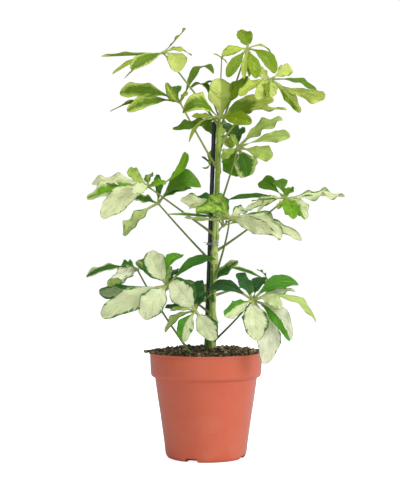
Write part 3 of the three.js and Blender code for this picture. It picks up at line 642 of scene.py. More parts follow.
def relief(half, phase, wave, fold, ruffle):
    """The height of both faces over the midrib: half (fold |v|^1.2 + ruffle v^2 waves) + skin.

    skin is half the thickness, thinner at the tip, with a rib that stands out below the blade and
    is sunk above it. On the stalk it is the sine of a round rod.
    """
    ripple = np.sin(2 * np.pi * RIPPLES * ALONG + 2.3 * phase - SIDE)
    rise = half * FLAT * (
        fold * np.abs(ACROSS) ** 1.2 + ruffle * ACROSS ** 2 * (WAVE * wave + RIPPLE * ripple))
    rib = np.exp(-(ACROSS * half / 0.8) ** 2) * (1 - 0.75 * ALONG)
    skin = BLADE_HALF * np.minimum(1, 6 * (1 - ALONG) + 0.25) + np.where(FACE < 0, 0.5, -0.12) * rib
    return rise + FLAT * FACE * skin + (1 - FLAT) * STALK_RADIUS * np.sin(TURN)


# %% The leaflet's surface
def leaflet(hub, opens, row, number):
    """A leaflet as a closed shell over (s, a): s runs from hub to tip and a turns round the ring.

    Point = hub + tip s + forward ahead + up (lift + stand) + aside (drift + reach). reach and stand
    are the ring's width and relief, rolled by an angle that grows towards the tip. lift is the arch
    4s(1 - s), or 3 s^1.5 sqrt(1 - s) where the form is hooked, less the curl of the last stretch.
    drift = 4 sway s(1 - s), and ahead pushes the edges near the tip forward.
    """
    tip, (width, arch, sway, angle, look) = np.array(row[:3], float), row[3:8]
    belly, ruffle, lobes, fold, curl, twist, hook, point = FORMS[row[8] if len(row) > 8 else "plain"]
    length = np.linalg.norm(tip)
    forward = tip / length
    up = upper_face(forward, opens, angle)
    aside = np.cross(forward, up)
    phase = 2 * np.pi * draw(number, 1)
    wave = np.sin(2 * np.pi * WAVES * ALONG + phase + SIDE)

    half = half_width(width, phase, belly, ruffle, lobes, point)
    sheet = FLAT * half * ACROSS + (1 - FLAT) * (half * np.cos(TURN))
    height = relief(half, phase, wave, fold, ruffle)
    turn = math.radians(twist + 14 * ruffle) * (2 * draw(number, 11) - 1)
    roll = turn * np.sin(2.2 * ALONG) + 0.1 * ruffle * wave * ALONG
    reach = sheet * np.cos(roll) - height * np.sin(roll)
    stand = sheet * np.sin(roll) + height * np.cos(roll)

    ahead = 0.12 * half * np.abs(ACROSS) ** 1.5 * smooth(ALONG, 0.5, 0.95)
    bend = np.maximum(0, (ROWS - 0.55) / 0.45) ** 2
    droop = length * (curl + 0.05 * draw(number, 3)) * bend * (1 - 0.5 * ROWS)
    arc = 4 * ROWS * (1 - ROWS) * (1 - hook) + 3 * ROWS ** 1.5 * np.sqrt(1 - ROWS) * hook
    drift = 4 * sway * ROWS * (1 - ROWS)
    rings = (hub + tip * ROWS[..., None] + forward * ahead[..., None]
             + up * (arch * arc - droop + stand)[..., None] + aside * (drift + reach)[..., None])

    core, margin, shift, paler, splash, band, deep, cream = LOOKS[look]
    blade = np.stack(np.broadcast_arrays(ACROSS, ALONG - (1 - FLAT) * 0.2, 0.5 + 0.5 * FACE), -1)
    jitter = draw(number, 5) - 0.5
    return shell(rings, blade=blade, pattern=(core, margin + 0.06 * jitter, shift),
                 detail=(paler, splash, number * 3.7),
                 tone=(deep + 0.15 * jitter, cream - 0.12 * (draw(number, 7) - 0.5), band))


# %% [markdown]
# ### Hub and stalk
#
# Where the leaflets meet, their stalks run together into a small lumpy joint, olive tan and
# ribbed towards each leaflet. It is a ball whose radius grows towards every leaflet. The long
# stalk below it is a thin rod that thickens at its heel, where it clasps the stem.

# %% Hub
HUB_RADIUS = 2.47


def hub_joint(hub, tips, size):
    """A ball over (t, a): its radius is size (0.8 + 0.5 times the nearness to a leaflet).

    nearness = the largest cos(angle between the direction and a leaflet)^12 over all leaflets.
    """
    t = np.linspace(0.12, np.pi - 0.12, 14)[:, None]
    a = np.linspace(0, 2 * np.pi, 24, endpoint=False)[None, :]
    way = ball_directions(t, a)
    near = np.maximum(way @ unit(tips).T, 0).max(-1) ** 12
    rings = hub + way * (size * (0.8 + 0.5 * near))[..., None]
    none = (0, 0, 0)
    return shell(rings, blade=none, pattern=none, detail=none, tone=none)


# %% Stem path and stalks
STEM_PATH = np.array([
    (5.6, -1.5, 52, 3.2), (5.2, -1.5, 98, 4.4), (5.2, -1.5, 120, 5.0), (5.8, -1.4, 136, 4.2),
    (6.6, -1.3, 158, 3.7), (7.6, -1.2, 186, 3.5), (9.0, -1.1, 214, 3.6), (9.7, -1.0, 232, 3.5),
    (10.9, -1.0, 260, 3.1), (12.2, -1.0, 295, 2.8), (13.3, -1.0, 325, 2.7), (13.9, -1.2, 352, 2.5),
    (14.1, -1.4, 363, 1.9)])  # x, y, height and radius up the stem


def stem_at(height):
    """x, y, height and radius of the stem at each height, straight between the listed points."""
    return np.stack([np.interp(height, STEM_PATH[:, 2], STEM_PATH[:, k]) for k in range(4)], -1)


def leaf_stalk(start, bow, hub, size):
    """A rod on a quadratic curve from the stem to the hub.

    Its radius falls from a heel of 1.9 to 1.2 and then to 0.85, and swells again just at the hub.
    """
    start, hub = np.array(start, float), np.array(hub, float)
    middle = np.array(bow, float) if isinstance(bow, tuple) else (start + hub) / 2 + (0, 0, 2 * bow)
    share = np.linspace(0, 1, 40)
    path = bezier(start, middle, hub, share)
    heel = (1 - share) ** 8
    knob = 0.25 * np.exp(-((1 - share) / 0.04) ** 2)
    radius = size * (1.9 * heel + 1.2 * (1 - heel) - 0.35 * share + knob)
    return rod(path, radius, 12, share=share[:, None] * np.ones(12))


# %% [markdown]
# ### The finish of a leaf
#
# A variegated blade has three tones with crisp, torn borders that follow its side veins: pale
# where it has lost its green, a middle green, and a deep green. Painting each leaf by hand, or
# from a picture, would be one way. Here a small set of rules draws them all: the distance from
# the edge, bent by noise that is stretched along the veins, says which tone a spot has. Three
# kinds of leaves use the rules with their own colours, so they are put in node groups. A thin
# dark line runs round each blade: partly the real dark margin, partly painted shade where the
# edge curls away from the light.

# %% Group: veins of a blade
def start_group(name, takes, gives):
    """An empty node group with named inputs and outputs, each a (name, kind) pair."""
    group = bpy.data.node_groups.new(name, "ShaderNodeTree")
    for label, kind in takes:
        group.interface.new_socket(label, in_out="INPUT", socket_type="NodeSocket" + kind)
    for label, kind in gives:
        group.interface.new_socket(label, in_out="OUTPUT", socket_type="NodeSocket" + kind)
    entry, exit_ = group.nodes.new("NodeGroupInput"), group.nodes.new("NodeGroupOutput")
    return group, entry.outputs, lambda label, value: group.links.new(value, exit_.inputs[label])


def use(tree, group, inputs, *outputs):
    """Places a node group, feeds its inputs and returns the named outputs."""
    made = tree.nodes.new("ShaderNodeGroup")
    made.node_tree = group
    for key, value in inputs.items():
        if isinstance(value, bpy.types.NodeSocket):
            tree.links.new(value, made.inputs[key])
        else:
            made.inputs[key].default_value = value
    return [made.outputs[name] for name in outputs]


def split(tree, vector):
    """The three parts of a vector socket."""
    made = tree.nodes.new("ShaderNodeSeparateXYZ")
    tree.links.new(vector, made.inputs[0])
    return made.outputs


veins, given, put = start_group(
    "blade_veins", [("Blade", "Vector")], [("Line", "Float"), ("Height", "Float")])
across, along, _ = split(veins, given["Blade"])
out = calc(veins, "ABSOLUTE", across)
bent = node(veins, "ShaderNodeTexNoise", {"Vector": given["Blade"], "Scale": 3.0, "Detail": 1.0})
slant = calc(veins, "MULTIPLY_ADD", out, -0.3, calc(veins, "MULTIPLY_ADD", bent, 0.16, along))
beat = calc(veins, "FRACT", calc(veins, "MULTIPLY", slant, 8.0))
near = calc(veins, "ABSOLUTE", calc(veins, "SUBTRACT", beat, 0.5))
side_vein = ease(veins, near, 0.1, 0.0)
fade = calc(veins, "SUBTRACT", 1.05, out)
side_vein = calc(veins, "MULTIPLY", side_vein, fade)
midrib = ease(veins, out, 0.075, 0.0)
put("Line", calc(veins, "MAXIMUM", midrib, calc(veins, "MULTIPLY", side_vein, 0.2)))
pillow = calc(veins, "MULTIPLY", ease(veins, near, 0.0, 0.5), fade)
put("Height", calc(veins, "SUBTRACT", pillow, calc(veins, "MULTIPLY", midrib, 0.8)))
print("group", veins.name)

# %% Group: variegation
tones, given, put = start_group(
    "variegation",
    [("Blade", "Vector"), ("Pattern", "Vector"), ("Detail", "Vector"), ("Band", "Float")],
    [("Pale", "Float"), ("Dark", "Float"), ("Cloud", "Float"), ("Fleck", "Float")])
across, along, _ = split(tones, given["Blade"])
core, margin, shift = split(tones, given["Pattern"])
paler, splash, seed = split(tones, given["Detail"])
out = calc(tones, "ABSOLUTE", across)
slant = calc(tones, "MULTIPLY_ADD", out, -0.24, along)


def streaks(scale_along, scale_across, offset, detail):
    """Noise from -0.5 to 0.5 that is stretched along the side veins of a blade."""
    spot = node(tones, "ShaderNodeCombineXYZ", {
        0: calc(tones, "MULTIPLY_ADD", slant, scale_along, seed),
        1: calc(tones, "MULTIPLY", across, scale_across),
        2: calc(tones, "ADD", seed, offset)})
    noise = node(tones, "ShaderNodeTexNoise", {"Vector": spot, "Scale": 1.0, "Detail": detail})
    return calc(tones, "SUBTRACT", noise, 0.5)


edge = calc(tones, "MULTIPLY_ADD", shift, across, calc(tones, "SUBTRACT", 1.0, out))
teeth = calc(tones, "MULTIPLY", ease(tones, streaks(17.0, 0.6, 61.0, 1.0), -0.02, 0.16), 0.16)
thin = calc(tones, "SUBTRACT", calc(tones, "SUBTRACT", 0.97, out), calc(tones, "MULTIPLY", teeth, 0.6))
rim = calc(tones, "SUBTRACT", calc(tones, "SUBTRACT", edge, margin), teeth)
rim = calc(tones, "MINIMUM", rim, thin)
inside = calc(tones, "MULTIPLY", core, rim)
field = calc(tones, "MULTIPLY_ADD", paler, calc(tones, "SUBTRACT", along, 0.55), inside)
broad, fine = streaks(5.0, 1.1, 0.0, 2.0), streaks(16.0, 2.2, 9.0, 3.0)
rough_edge = calc(tones, "MULTIPLY_ADD", ease(tones, edge, 0.0, 0.25), 0.8, 0.2)
noise = calc(tones, "MULTIPLY_ADD", broad, 0.42, calc(tones, "MULTIPLY", fine, 0.3))
field = calc(tones, "MULTIPLY_ADD", noise, rough_edge, field)
blots = ease(tones, streaks(3.2, 1.7, 21.0, 3.0), 0.08, 0.2)
field = calc(tones, "SUBTRACT", field, calc(tones, "MULTIPLY", blots, calc(
    tones, "MULTIPLY", splash, 0.5)))
put("Pale", ease(tones, field, -0.01, 0.025))
spread = calc(tones, "MULTIPLY", calc(tones, "MINIMUM", given["Band"], 0.35), 4.0)
patchy = calc(tones, "MULTIPLY", streaks(8.0, 1.6, 33.0, 2.0), spread)
depth = calc(tones, "ADD", calc(tones, "ADD", field, patchy), given["Band"])
put("Dark", ease(tones, depth, 0.0, -0.03))
put("Cloud", calc(tones, "ADD", streaks(2.6, 1.0, 47.0, 3.0), 0.5))
put("Fleck", ease(tones, streaks(7.0, 2.4, 77.0, 3.0), -0.02, 0.14))
print("group", tones.name)


# %% Material: leaf blades
def leaf_material(name, lime, cream, fresh, deep, back):
    """A blade in its own colours: pale from lime to cream, green from fresh to deep, and its back."""
    material, tree, shader, _ = new_material(name)
    blade, pattern, detail, tone = (
        node(tree, "ShaderNodeAttribute", out=1, attribute_name=label)
        for label in ("blade", "pattern", "detail", "tone"))
    across, along, top = split(tree, blade)
    deepness, creaminess, band = split(tree, tone)
    pale, dark, cloud, fleck = use(
        tree, tones, {"Blade": blade, "Pattern": pattern, "Detail": detail, "Band": band},
        "Pale", "Dark", "Cloud", "Fleck")
    line, height = use(tree, veins, {"Blade": blade}, "Line", "Height")
    pale_tone = blend(tree, creaminess, rgb(*lime), rgb(*cream))
    pale_tone = blend(tree, calc(tree, "MULTIPLY", cloud, 0.35), pale_tone, rgb(*fresh))
    green = blend(tree, deepness, rgb(*fresh), rgb(*deep))
    green = blend(tree, calc(tree, "MULTIPLY", cloud, 0.1), green, rgb(*lime))
    middle = blend(tree, 0.45, green, pale_tone)
    colour = blend(tree, dark, middle, green)
    colour = blend(tree, pale, colour, pale_tone)
    colour = blend(tree, calc(tree, "MULTIPLY", line, 0.2), colour, rgb(*lime))
    colour = blend(tree, calc(tree, "MULTIPLY", fleck, 0.16), colour, rgb(*deep))
    # A dark line round the blade: partly its real dark margin, partly painted shade where the edge curls away
    # from the light.
    outline = ease(tree, calc(tree, "ABSOLUTE", across), 0.9, 0.98)
    colour = blend(tree, calc(tree, "MULTIPLY", outline, 0.55), colour, rgb(*deep))
    under = blend(tree, 0.25, colour, rgb(*back))
    colour = blend(tree, top, under, colour)
    stalk = calc(tree, "MULTIPLY", ease(tree, along, -0.02, -0.16), 0.75)
    colour = blend(tree, stalk, colour, rgb(156, 168, 92))
    tree.links.new(colour, shader.inputs["Base Color"])
    rough = calc(tree, "MULTIPLY_ADD", top, -0.16, 0.6)
    rough = calc(tree, "MULTIPLY_ADD", cloud, 0.12, rough)
    tree.links.new(rough, shader.inputs["Roughness"])
    tree.links.new(calc(tree, "MULTIPLY_ADD", dark, 0.1, 0.12), shader.inputs["Specular IOR Level"])
    shader.inputs["Subsurface Weight"].default_value = 0.15
    shader.inputs["Subsurface Radius"].default_value = (0.9, 1.4, 0.35)
    shader.inputs["Subsurface Scale"].default_value = 0.0012
    bump = node(tree, "ShaderNodeBump", {"Height": height, "Strength": 0.4, "Distance": 0.0006})
    tree.links.new(bump, shader.inputs["Normal"])
    return material


young_blade = leaf_material(
    "young_blade", (176, 192, 66), (208, 215, 136), (122, 148, 0), (60, 104, 8), (150, 170, 52))
middle_blade = leaf_material(
    "middle_blade", (160, 188, 44), (222, 224, 180), (104, 156, 6), (30, 86, 26), (140, 168, 84))
old_blade = leaf_material(
    "old_blade", (164, 188, 60), (240, 238, 212), (70, 142, 0), (10, 78, 36), (136, 162, 80))
BLADES = {"young_leaves": young_blade, "middle_leaves": middle_blade, "old_leaves": old_blade}
print("leaf materials:", [m.name for m in BLADES.values()])

# %% [markdown]
# ### The finish of stalks
#
# A stalk is olive green and smooth. It turns tan at the hub and pale at its heel, and it is
# faintly streaked along its length. A noise that is stretched upwards gives the streaks, and the
# share of the way from heel to hub gives the change of colour.

# %% Material: stalks and hubs
def stalk_material(name, low, main, high):
    """A stalk that goes from low at its heel through main to high at its hub."""
    material, tree, shader, place = new_material(name)
    share = node(tree, "ShaderNodeAttribute", out=2, attribute_name="share")
    fibre = node(tree, "ShaderNodeMapping", {"Vector": place, "Scale": (900, 900, 60)})
    noise = node(tree, "ShaderNodeTexNoise", {"Vector": fibre, "Scale": 1.0, "Detail": 3.0})
    colour = blend(tree, ease(tree, share, 0.0, 0.12), rgb(*low), rgb(*main))
    colour = blend(tree, ease(tree, share, 0.72, 1.0), colour, rgb(*high))
    colour = blend(tree, calc(tree, "MULTIPLY", noise, 0.45), colour, rgb(88, 104, 40))
    tree.links.new(colour, shader.inputs["Base Color"])
    tree.links.new(calc(tree, "MULTIPLY_ADD", noise, 0.25, 0.38), shader.inputs["Roughness"])
    bump = node(tree, "ShaderNodeBump", {"Height": noise, "Strength": 0.25, "Distance": 0.0002})
    tree.links.new(bump, shader.inputs["Normal"])
    return material


stalk_green = stalk_material("stalk_green", (176, 190, 112), (104, 126, 50), (142, 148, 78))
stalk_young = stalk_material("stalk_young", (160, 180, 92), (142, 162, 66), (168, 164, 92))
hub_tan = stalk_material("hub_tan", (160, 172, 92), (160, 172, 92), (166, 154, 98))
print("stalk materials ready")

# %% Build every leaf
OLD_BELOW, MIDDLE_BELOW = 210, 340  # heights of the hub
YOUNG_WIDTH = 8  # a leaf with narrower leaflets has only just opened


def age(height):
    """The slot of a leaf by the height of its hub: the foot is old and the crown is young."""
    if height < OLD_BELOW:
        return "old_leaves"
    return "middle_leaves" if height < MIDDLE_BELOW else "young_leaves"


number = 1
for name, start, hub, opens, bow, rows in LEAVES:
    hub = np.array(hub, float)
    opens = unit(np.array(opens, float))
    small = rows[0][3] < YOUNG_WIDTH
    blades = [leaflet(hub, opens, row, number + i) for i, row in enumerate(rows)]
    number += len(rows)
    tips = np.array([row[:3] for row in rows], float)
    joint = hub_joint(hub, tips, HUB_RADIUS * (0.6 if small else 1.0))
    slot = age(hub[2])
    piece("foliage_" + name, [blades, [joint]], [BLADES[slot], hub_tan], ["leaflets_" + name])
    base = start if isinstance(start, tuple) else tuple(stem_at(start)[:3])
    stalk = leaf_stalk(base, bow, hub, 0.7 if small else 1.0)
    finish = stalk_young if slot == "young_leaves" else stalk_green
    piece("stalk_" + name, [stalk], [finish], ["petiole_" + name])

# %% [markdown]
# ## The pot
#
# A 12 cm nursery pot is moulded in one thin wall: a rolled bead at the rim, a wide lip, a
# tapered body and a rounded foot. Four channels run in under its edge so that water can leave
# through a hole in each. A lathe would turn the profile. Here the profile is turned by a formula,
# and the same formula lifts the underside where a channel runs, so wall and floor stay one skin.

# %% Pot sizes
POT_OUTSIDE = [  # radius and height from the underside's middle up to the top of the bead
    (4, 0), (20, 0), (28.0, 0), (30.5, 0), (34, 0), (37.6, 0), (39.6, 0.15), (41.2, 0.8),
    (42.3, 2.2), (42.9, 3.6), (43.3, 5.2), (43.8, 8), (44.7, 16), (46.4, 28), (48.9, 46),
    (51.4, 62), (53.4, 76), (54.4, 83.4), (54.65, 85.2), (54.9, 85.8), (55.6, 86.1), (56.9, 86.4),
    (58.0, 87.1), (58.7, 88.3), (59.05, 90), (59.3, 93), (59.75, 102), (60.0, 109.0), (59.8, 109.5),
    (59.85, 109.8), (60.25, 110.4), (60.35, 111.2), (60.0, 111.85), (59.4, 112.0)]
POT_INSIDE = [  # from there down to the floor's middle
    (58.9, 111.8), (58.7, 111.0), (58.5, 108), (58.0, 92), (56.2, 88.5), (53.4, 85), (50.0, 60),
    (46.5, 36), (42.1, 6.5), (39.1, 2.2), (36, 2.2), (33, 2.2), (29, 2.2), (26, 2.2), (12, 2.2), (3, 2.2)]
PROFILE_STEP = 2.0  # the longest stretch of the profile between two rings
CHANNELS = [math.radians(248 + 90 * k) for k in range(4)]
CHANNEL_SPREAD = 9.6  # degrees on either side of a channel where the rings have closer points
RIM_HEIGHT = 112.0


def channel(x, y, half_width, height, inner):
    """How high the underside is lifted at (x, y): height inside a radial channel, 0 outside it.

    It is height times a steep step across the channel times a steep step at its inner end.
    """
    lifted = np.zeros_like(x)
    for angle in CHANNELS:
        out = x * math.cos(angle) + y * math.sin(angle)
        off = np.abs(-x * math.sin(angle) + y * math.cos(angle))
        inside = smooth(half_width - off, -0.3, 0.5) * smooth(out - inner, -0.3, 0.7)
        lifted = np.maximum(lifted, height * inside)
    return lifted


def pot_shell():
    """The pot turned about Z: (r(t) cos a, r(t) sin a, z(t)), its underside lifted by the channels."""
    profile = np.array(POT_OUTSIDE + POT_INSIDE)
    run = np.concatenate([[0], np.cumsum(np.linalg.norm(np.diff(profile, axis=0), axis=1))])
    dense = np.unique(np.concatenate([run, np.arange(0, run[-1], PROFILE_STEP)]))
    r, z = (np.interp(dense, run, profile[:, k])[:, None] for k in range(2))
    near = np.radians(np.linspace(-CHANNEL_SPREAD, CHANNEL_SPREAD, 25))
    fine = np.concatenate([angle + near for angle in CHANNELS]) % (2 * np.pi)
    even = np.linspace(0, 2 * np.pi, 120, endpoint=False)
    a = np.unique(np.round(np.concatenate([even, fine]), 5))[None, :]
    x, y = r * np.cos(a), r * np.sin(a)
    outside = dense[:, None] < run[len(POT_OUTSIDE) - 1]
    under = channel(x, y, 6.5, 4.0, 29) * (z < 8)
    over = channel(x, y, 7.9, 5.4, 27.6) * (z < 7)
    z = np.maximum(z, np.where(outside, under, over))
    wobble = 0.12 * np.sin(3 * a + 0.8) * smooth(z, 5, 60) + 0.05 * np.sin(7 * a + z / 19)
    x, y = x * (1 + wobble / 60), y * (1 + wobble / 60)
    return shell(np.stack([x, y, z + 0 * a], -1))


# %% [markdown]
# The plastic is a matt terracotta colour. It is a little uneven, as recycled plastic is, with
# fine pits from the mould, a dusty film towards the foot, paler scuffs on the bead and the edge
# of the lip, and a few thin scratches. Where a wall is seen at a slant its colour turns a greyish
# blue: a painted sheen, the reflection of the bright room painted in. Wear, dust, scratches and
# pits come from groups that give masks, and the stake shares the one for dust and scratches.

# %% Group: wear on edges
wear, given, put = start_group(
    "edge_wear", [("Place", "Vector"), ("Reach", "Float")], [("Worn", "Float")])
pointed = node(wear, "ShaderNodeNewGeometry", out=7)
patch = node(wear, "ShaderNodeTexNoise", {"Vector": given["Place"], "Scale": 260.0, "Detail": 5.0})
convex = ease(wear, pointed, calc(wear, "SUBTRACT", 0.56, given["Reach"]), 0.62)
put("Worn", calc(wear, "MULTIPLY", convex, ease(wear, patch, 0.42, 0.62)))

# %% Group: dust and scratches
film, given, put = start_group(
    "dust_and_scratches", [("Place", "Vector"), ("Low", "Float"), ("High", "Float")],
    [("Dust", "Float"), ("Scratch", "Float"), ("Pits", "Float")])
height = split(film, given["Place"])[2]
cloud = node(
    film, "ShaderNodeTexNoise",
    {"Vector": given["Place"], "Scale": 38.0, "Detail": 6.0, "Roughness": 0.65})
fall = node(film, "ShaderNodeMapRange", {"Value": height, 1: given["High"], 2: given["Low"]})
low_down = calc(film, "MULTIPLY_ADD", fall, 0.75, 0.25)
put("Dust", calc(film, "MULTIPLY", low_down, ease(film, cloud, 0.4, 0.72)))
drawn = node(
    film, "ShaderNodeMapping",
    {"Vector": given["Place"], "Rotation": (0.5, 0.3, 0.2), "Scale": (30, 30, 700)})
lines = node(film, "ShaderNodeTexNoise", {"Vector": drawn, "Scale": 1.0, "Detail": 2.0})
few = node(film, "ShaderNodeTexNoise", {"Vector": given["Place"], "Scale": 55.0, "Detail": 1.0})
put("Scratch", calc(film, "MULTIPLY", ease(film, lines, 0.7, 0.76), ease(film, few, 0.56, 0.64)))
put("Pits", node(film, "ShaderNodeTexNoise", {"Vector": given["Place"], "Scale": 1500.0, "Detail": 2.0}))

# %% Material and piece: the pot
terracotta, tree, shader, place = new_material("terracotta_plastic")
dust, scratch, pits = use(tree, film, {"Place": place, "Low": 0.0, "High": 0.085}, "Dust", "Scratch", "Pits")
worn, = use(tree, wear, {"Place": place, "Reach": 0.02}, "Worn")
drift = node(tree, "ShaderNodeTexNoise", {"Vector": place, "Scale": 22.0, "Detail": 3.0})
colour = blend(tree, drift, rgb(196, 88, 58), rgb(206, 99, 68))
colour = blend(tree, calc(tree, "MULTIPLY", dust, 0.22), colour, rgb(206, 142, 118))
colour = blend(tree, calc(tree, "MULTIPLY", worn, 0.35), colour, rgb(226, 142, 112))
colour = blend(tree, calc(tree, "MULTIPLY", scratch, 0.4), colour, rgb(150, 82, 66))
# Painted sheen: where the wall is seen at a slant its colour turns greyish blue, a reflection of the bright
# room painted into the colour.
grazing = node(tree, "ShaderNodeLayerWeight", {"Blend": 0.5}, out="Facing")
slope = calc(tree, "ABSOLUTE", split(tree, node(tree, "ShaderNodeNewGeometry", out="Normal"))[2])
painted_grazing_sheen = calc(tree, "MULTIPLY", calc(tree, "POWER", grazing, 3.0), ease(tree, slope, 0.5, 0.2))
painted_grazing_sheen = calc(tree, "MULTIPLY", painted_grazing_sheen, 0.55)
colour = blend(tree, painted_grazing_sheen, colour, rgb(176, 150, 160))
tree.links.new(colour, shader.inputs["Base Color"])
rough = calc(tree, "MULTIPLY_ADD", dust, 0.2, 0.46)
tree.links.new(rough, shader.inputs["Roughness"])
bump = node(tree, "ShaderNodeBump", {"Height": pits, "Strength": 0.12, "Distance": 0.0002})
tree.links.new(bump, shader.inputs["Normal"])
pot = piece("pot_body", [pot_shell()], [terracotta], ["pot"])

# %% [markdown]
# Each channel has a round drain hole. The four holes are bored through the finished skin with
# short rods, because a hole in the middle of a grid would tear its rows.

# %% Drain holes
HOLE_REACH, HOLE_RADIUS = 34, 2.4
borers = []
for angle in CHANNELS:
    spot = (HOLE_REACH * math.cos(angle), HOLE_REACH * math.sin(angle))
    path = [(*spot, h) for h in (1.0, 3.0, 6.0, 8.5)]
    borers.append(rod(path, HOLE_RADIUS, 24, side=(1, 0, 0)))
borer = piece("borer", borers, [terracotta])
cut = pot.modifiers.new("drain_holes", "BOOLEAN")
cut.object = borer
cut.operation = "DIFFERENCE"
cut.solver = "EXACT"
bpy.context.view_layer.update()
bored = bpy.data.meshes.new_from_object(pot.evaluated_get(bpy.context.evaluated_depsgraph_get()))
pot.modifiers.clear()
pot.data = bored
bpy.data.objects.remove(borer)
print("pot with holes:", len(pot.data.polygons), "faces")

# %% [markdown]
# ## The soil
#
# The mix is dark peat with bark, straw and a little perlite. Its top is domed and lumpy, and it
# has spilled over the rim at the left. One skin gives the dome with lumps of several sizes, and
# loose crumbs are strewn over it. Each crumb is a few dozen faces, since hundreds of them lie
# there, and all of one kind are one piece.

# %% The soil's skin
SOIL_EDGE = 58.2  # radius
SOIL_CROWN = 3.6  # how far the middle of the dome stands over its edge
STEM_SPOT = np.array([5.2, -1.5])


def lumps(x, y):
    """Lumps of peat: a sum of products of sines at four sizes, folded so that crests are round."""
    coarse = np.sin(0.31 * x + 1.3) * np.cos(0.27 * y - 0.6)
    middle = np.abs(np.sin(0.74 * x - 0.43 * y) * np.cos(0.69 * y + 0.38 * x + 2))
    small = np.abs(np.sin(1.9 * x + 0.8 * y + 1.0) * np.cos(1.7 * y - 0.9 * x))
    grit = np.abs(np.sin(4.1 * x + 2.2 * y) * np.cos(3.9 * y - 2.6 * x + 1))
    return 0.9 * coarse + 1.5 * middle + 0.7 * small + 0.3 * grit - 0.6


def soil_height(x, y):
    """The dome rim + crown (1 - (r/edge)^2) with the lumps on it, lower at the very edge."""
    r = np.hypot(x, y) / SOIL_EDGE
    dome = RIM_HEIGHT + SOIL_CROWN * (1 - r * r)
    return dome + lumps(x, y) * (1 - 0.4 * smooth(r, 0.8, 1.0)) - 0.8 * smooth(r, 0.93, 1.0)


def soil_shell():
    """The dome on rings of radius r, then the wall down inside the pot, closed underneath."""
    r = np.linspace(0.6, SOIL_EDGE, 84)[:, None]
    a = np.linspace(0, 2 * np.pi, 210, endpoint=False)[None, :]
    x, y = r * np.cos(a), r * np.sin(a)
    top = np.stack([x, y, soil_height(x, y)], -1)
    wall = np.array([(57.6, 106), (53, 84.5), (46, 40), (41.3, 8), (38.5, 6.2), (2, 6.2)])
    under = np.stack([wall[:, :1] * np.cos(a), wall[:, :1] * np.sin(a), wall[:, 1:] + 0 * a], -1)
    return shell(np.concatenate([top, under]))


# %% Material and piece: the peat
peat, tree, shader, place = new_material("dark_peat")
grain = node(
    tree, "ShaderNodeTexNoise", {"Vector": place, "Scale": 520.0, "Detail": 8.0, "Roughness": 0.7})
clod = node(tree, "ShaderNodeTexVoronoi", {"Vector": place, "Scale": 420.0})
colour = blend(tree, ease(tree, grain, 0.36, 0.66), rgb(16, 13, 10), rgb(84, 72, 50))
colour = blend(tree, calc(tree, "MULTIPLY", ease(tree, clod, 0.5, 0.1), 0.55), colour, rgb(46, 38, 24))
moss = node(tree, "ShaderNodeTexNoise", {"Vector": place, "Scale": 90.0, "Detail": 3.0})
colour = blend(tree, calc(tree, "MULTIPLY", ease(tree, moss, 0.52, 0.68), 0.5), colour, rgb(92, 92, 44))
tree.links.new(colour, shader.inputs["Base Color"])
shader.inputs["Roughness"].default_value = 0.95
shader.inputs["Specular IOR Level"].default_value = 0.25
bump = node(tree, "ShaderNodeBump", {"Height": grain, "Strength": 0.8, "Distance": 0.001})
tree.links.new(bump, shader.inputs["Normal"])
piece("soil_body", [soil_shell()], [peat], ["soil"])


# %% Crumbs
def crumb_shells(spots, sizes, seed, rough=0.3):
    """Small stones: a ball over (t, a) with each point drawn out by chance, scaled and turned.

    spots is (n, 3), sizes (n, 3). Point = spot + turn (size * ball * (1 + rough * chance)), where
    turn is the rotation of a quaternion (w, x, y, z) that is drawn by chance.
    """
    chance = np.random.default_rng(seed)
    n = len(spots)
    t = np.linspace(0.45, np.pi - 0.45, 5)[:, None]
    a = np.linspace(0, 2 * np.pi, 7, endpoint=False)[None, :]
    uneven = 1 + rough * (chance.random((n, 5, 7, 1)) * 2 - 1)
    grown = ball_directions(t, a) * uneven * np.asarray(sizes)[:, None, None]
    w, x, y, z = unit(chance.normal(size=(n, 4))).T
    turned = np.stack([
        np.stack([1 - 2 * (y * y + z * z), 2 * (x * y - w * z), 2 * (x * z + w * y)], -1),
        np.stack([2 * (x * y + w * z), 1 - 2 * (x * x + z * z), 2 * (y * z - w * x)], -1),
        np.stack([2 * (x * z - w * y), 2 * (y * z + w * x), 1 - 2 * (x * x + y * y)], -1)], 1)
    rings = np.einsum("nij,nabj->nabi", turned, grown) + np.asarray(spots)[:, None, None]
    tone = chance.random(n)
    return [shell(one, chance=tone[i]) for i, one in enumerate(rings)]


def strewn(count, seed, reach=57.5, clear=7.5):
    """Places on the soil, spread evenly over its disc and kept clear of the stem."""
    chance = np.random.default_rng(seed)
    r = reach * np.sqrt(chance.random(3 * count))
    a = 2 * np.pi * chance.random(3 * count)
    x, y = r * np.cos(a), r * np.sin(a)
    free = np.hypot(x - STEM_SPOT[0], y - STEM_SPOT[1]) > clear
    x, y = x[free][:count], y[free][:count]
    return np.stack([x, y, soil_height(x, y)], -1)


def crumb_material(name, dark, light, scale=700.0):
    """A crumb from dark to light, each one by its own chance, with a grain of its own."""
    material, tree, shader, place = new_material(name)
    chance = node(tree, "ShaderNodeAttribute", out=2, attribute_name="chance")
    grain = node(tree, "ShaderNodeTexNoise", {"Vector": place, "Scale": scale, "Detail": 5.0})
    rare = calc(tree, "MULTIPLY", calc(tree, "POWER", chance, 3.0), 0.85)
    mixed = calc(tree, "MULTIPLY_ADD", ease(tree, grain, 0.4, 0.7), 0.3, rare)
    tree.links.new(blend(tree, mixed, rgb(*dark), rgb(*light)), shader.inputs["Base Color"])
    shader.inputs["Roughness"].default_value = 0.9
    bump = node(tree, "ShaderNodeBump", {"Height": grain, "Strength": 0.7, "Distance": 0.0005})
    tree.links.new(bump, shader.inputs["Normal"])
    return material


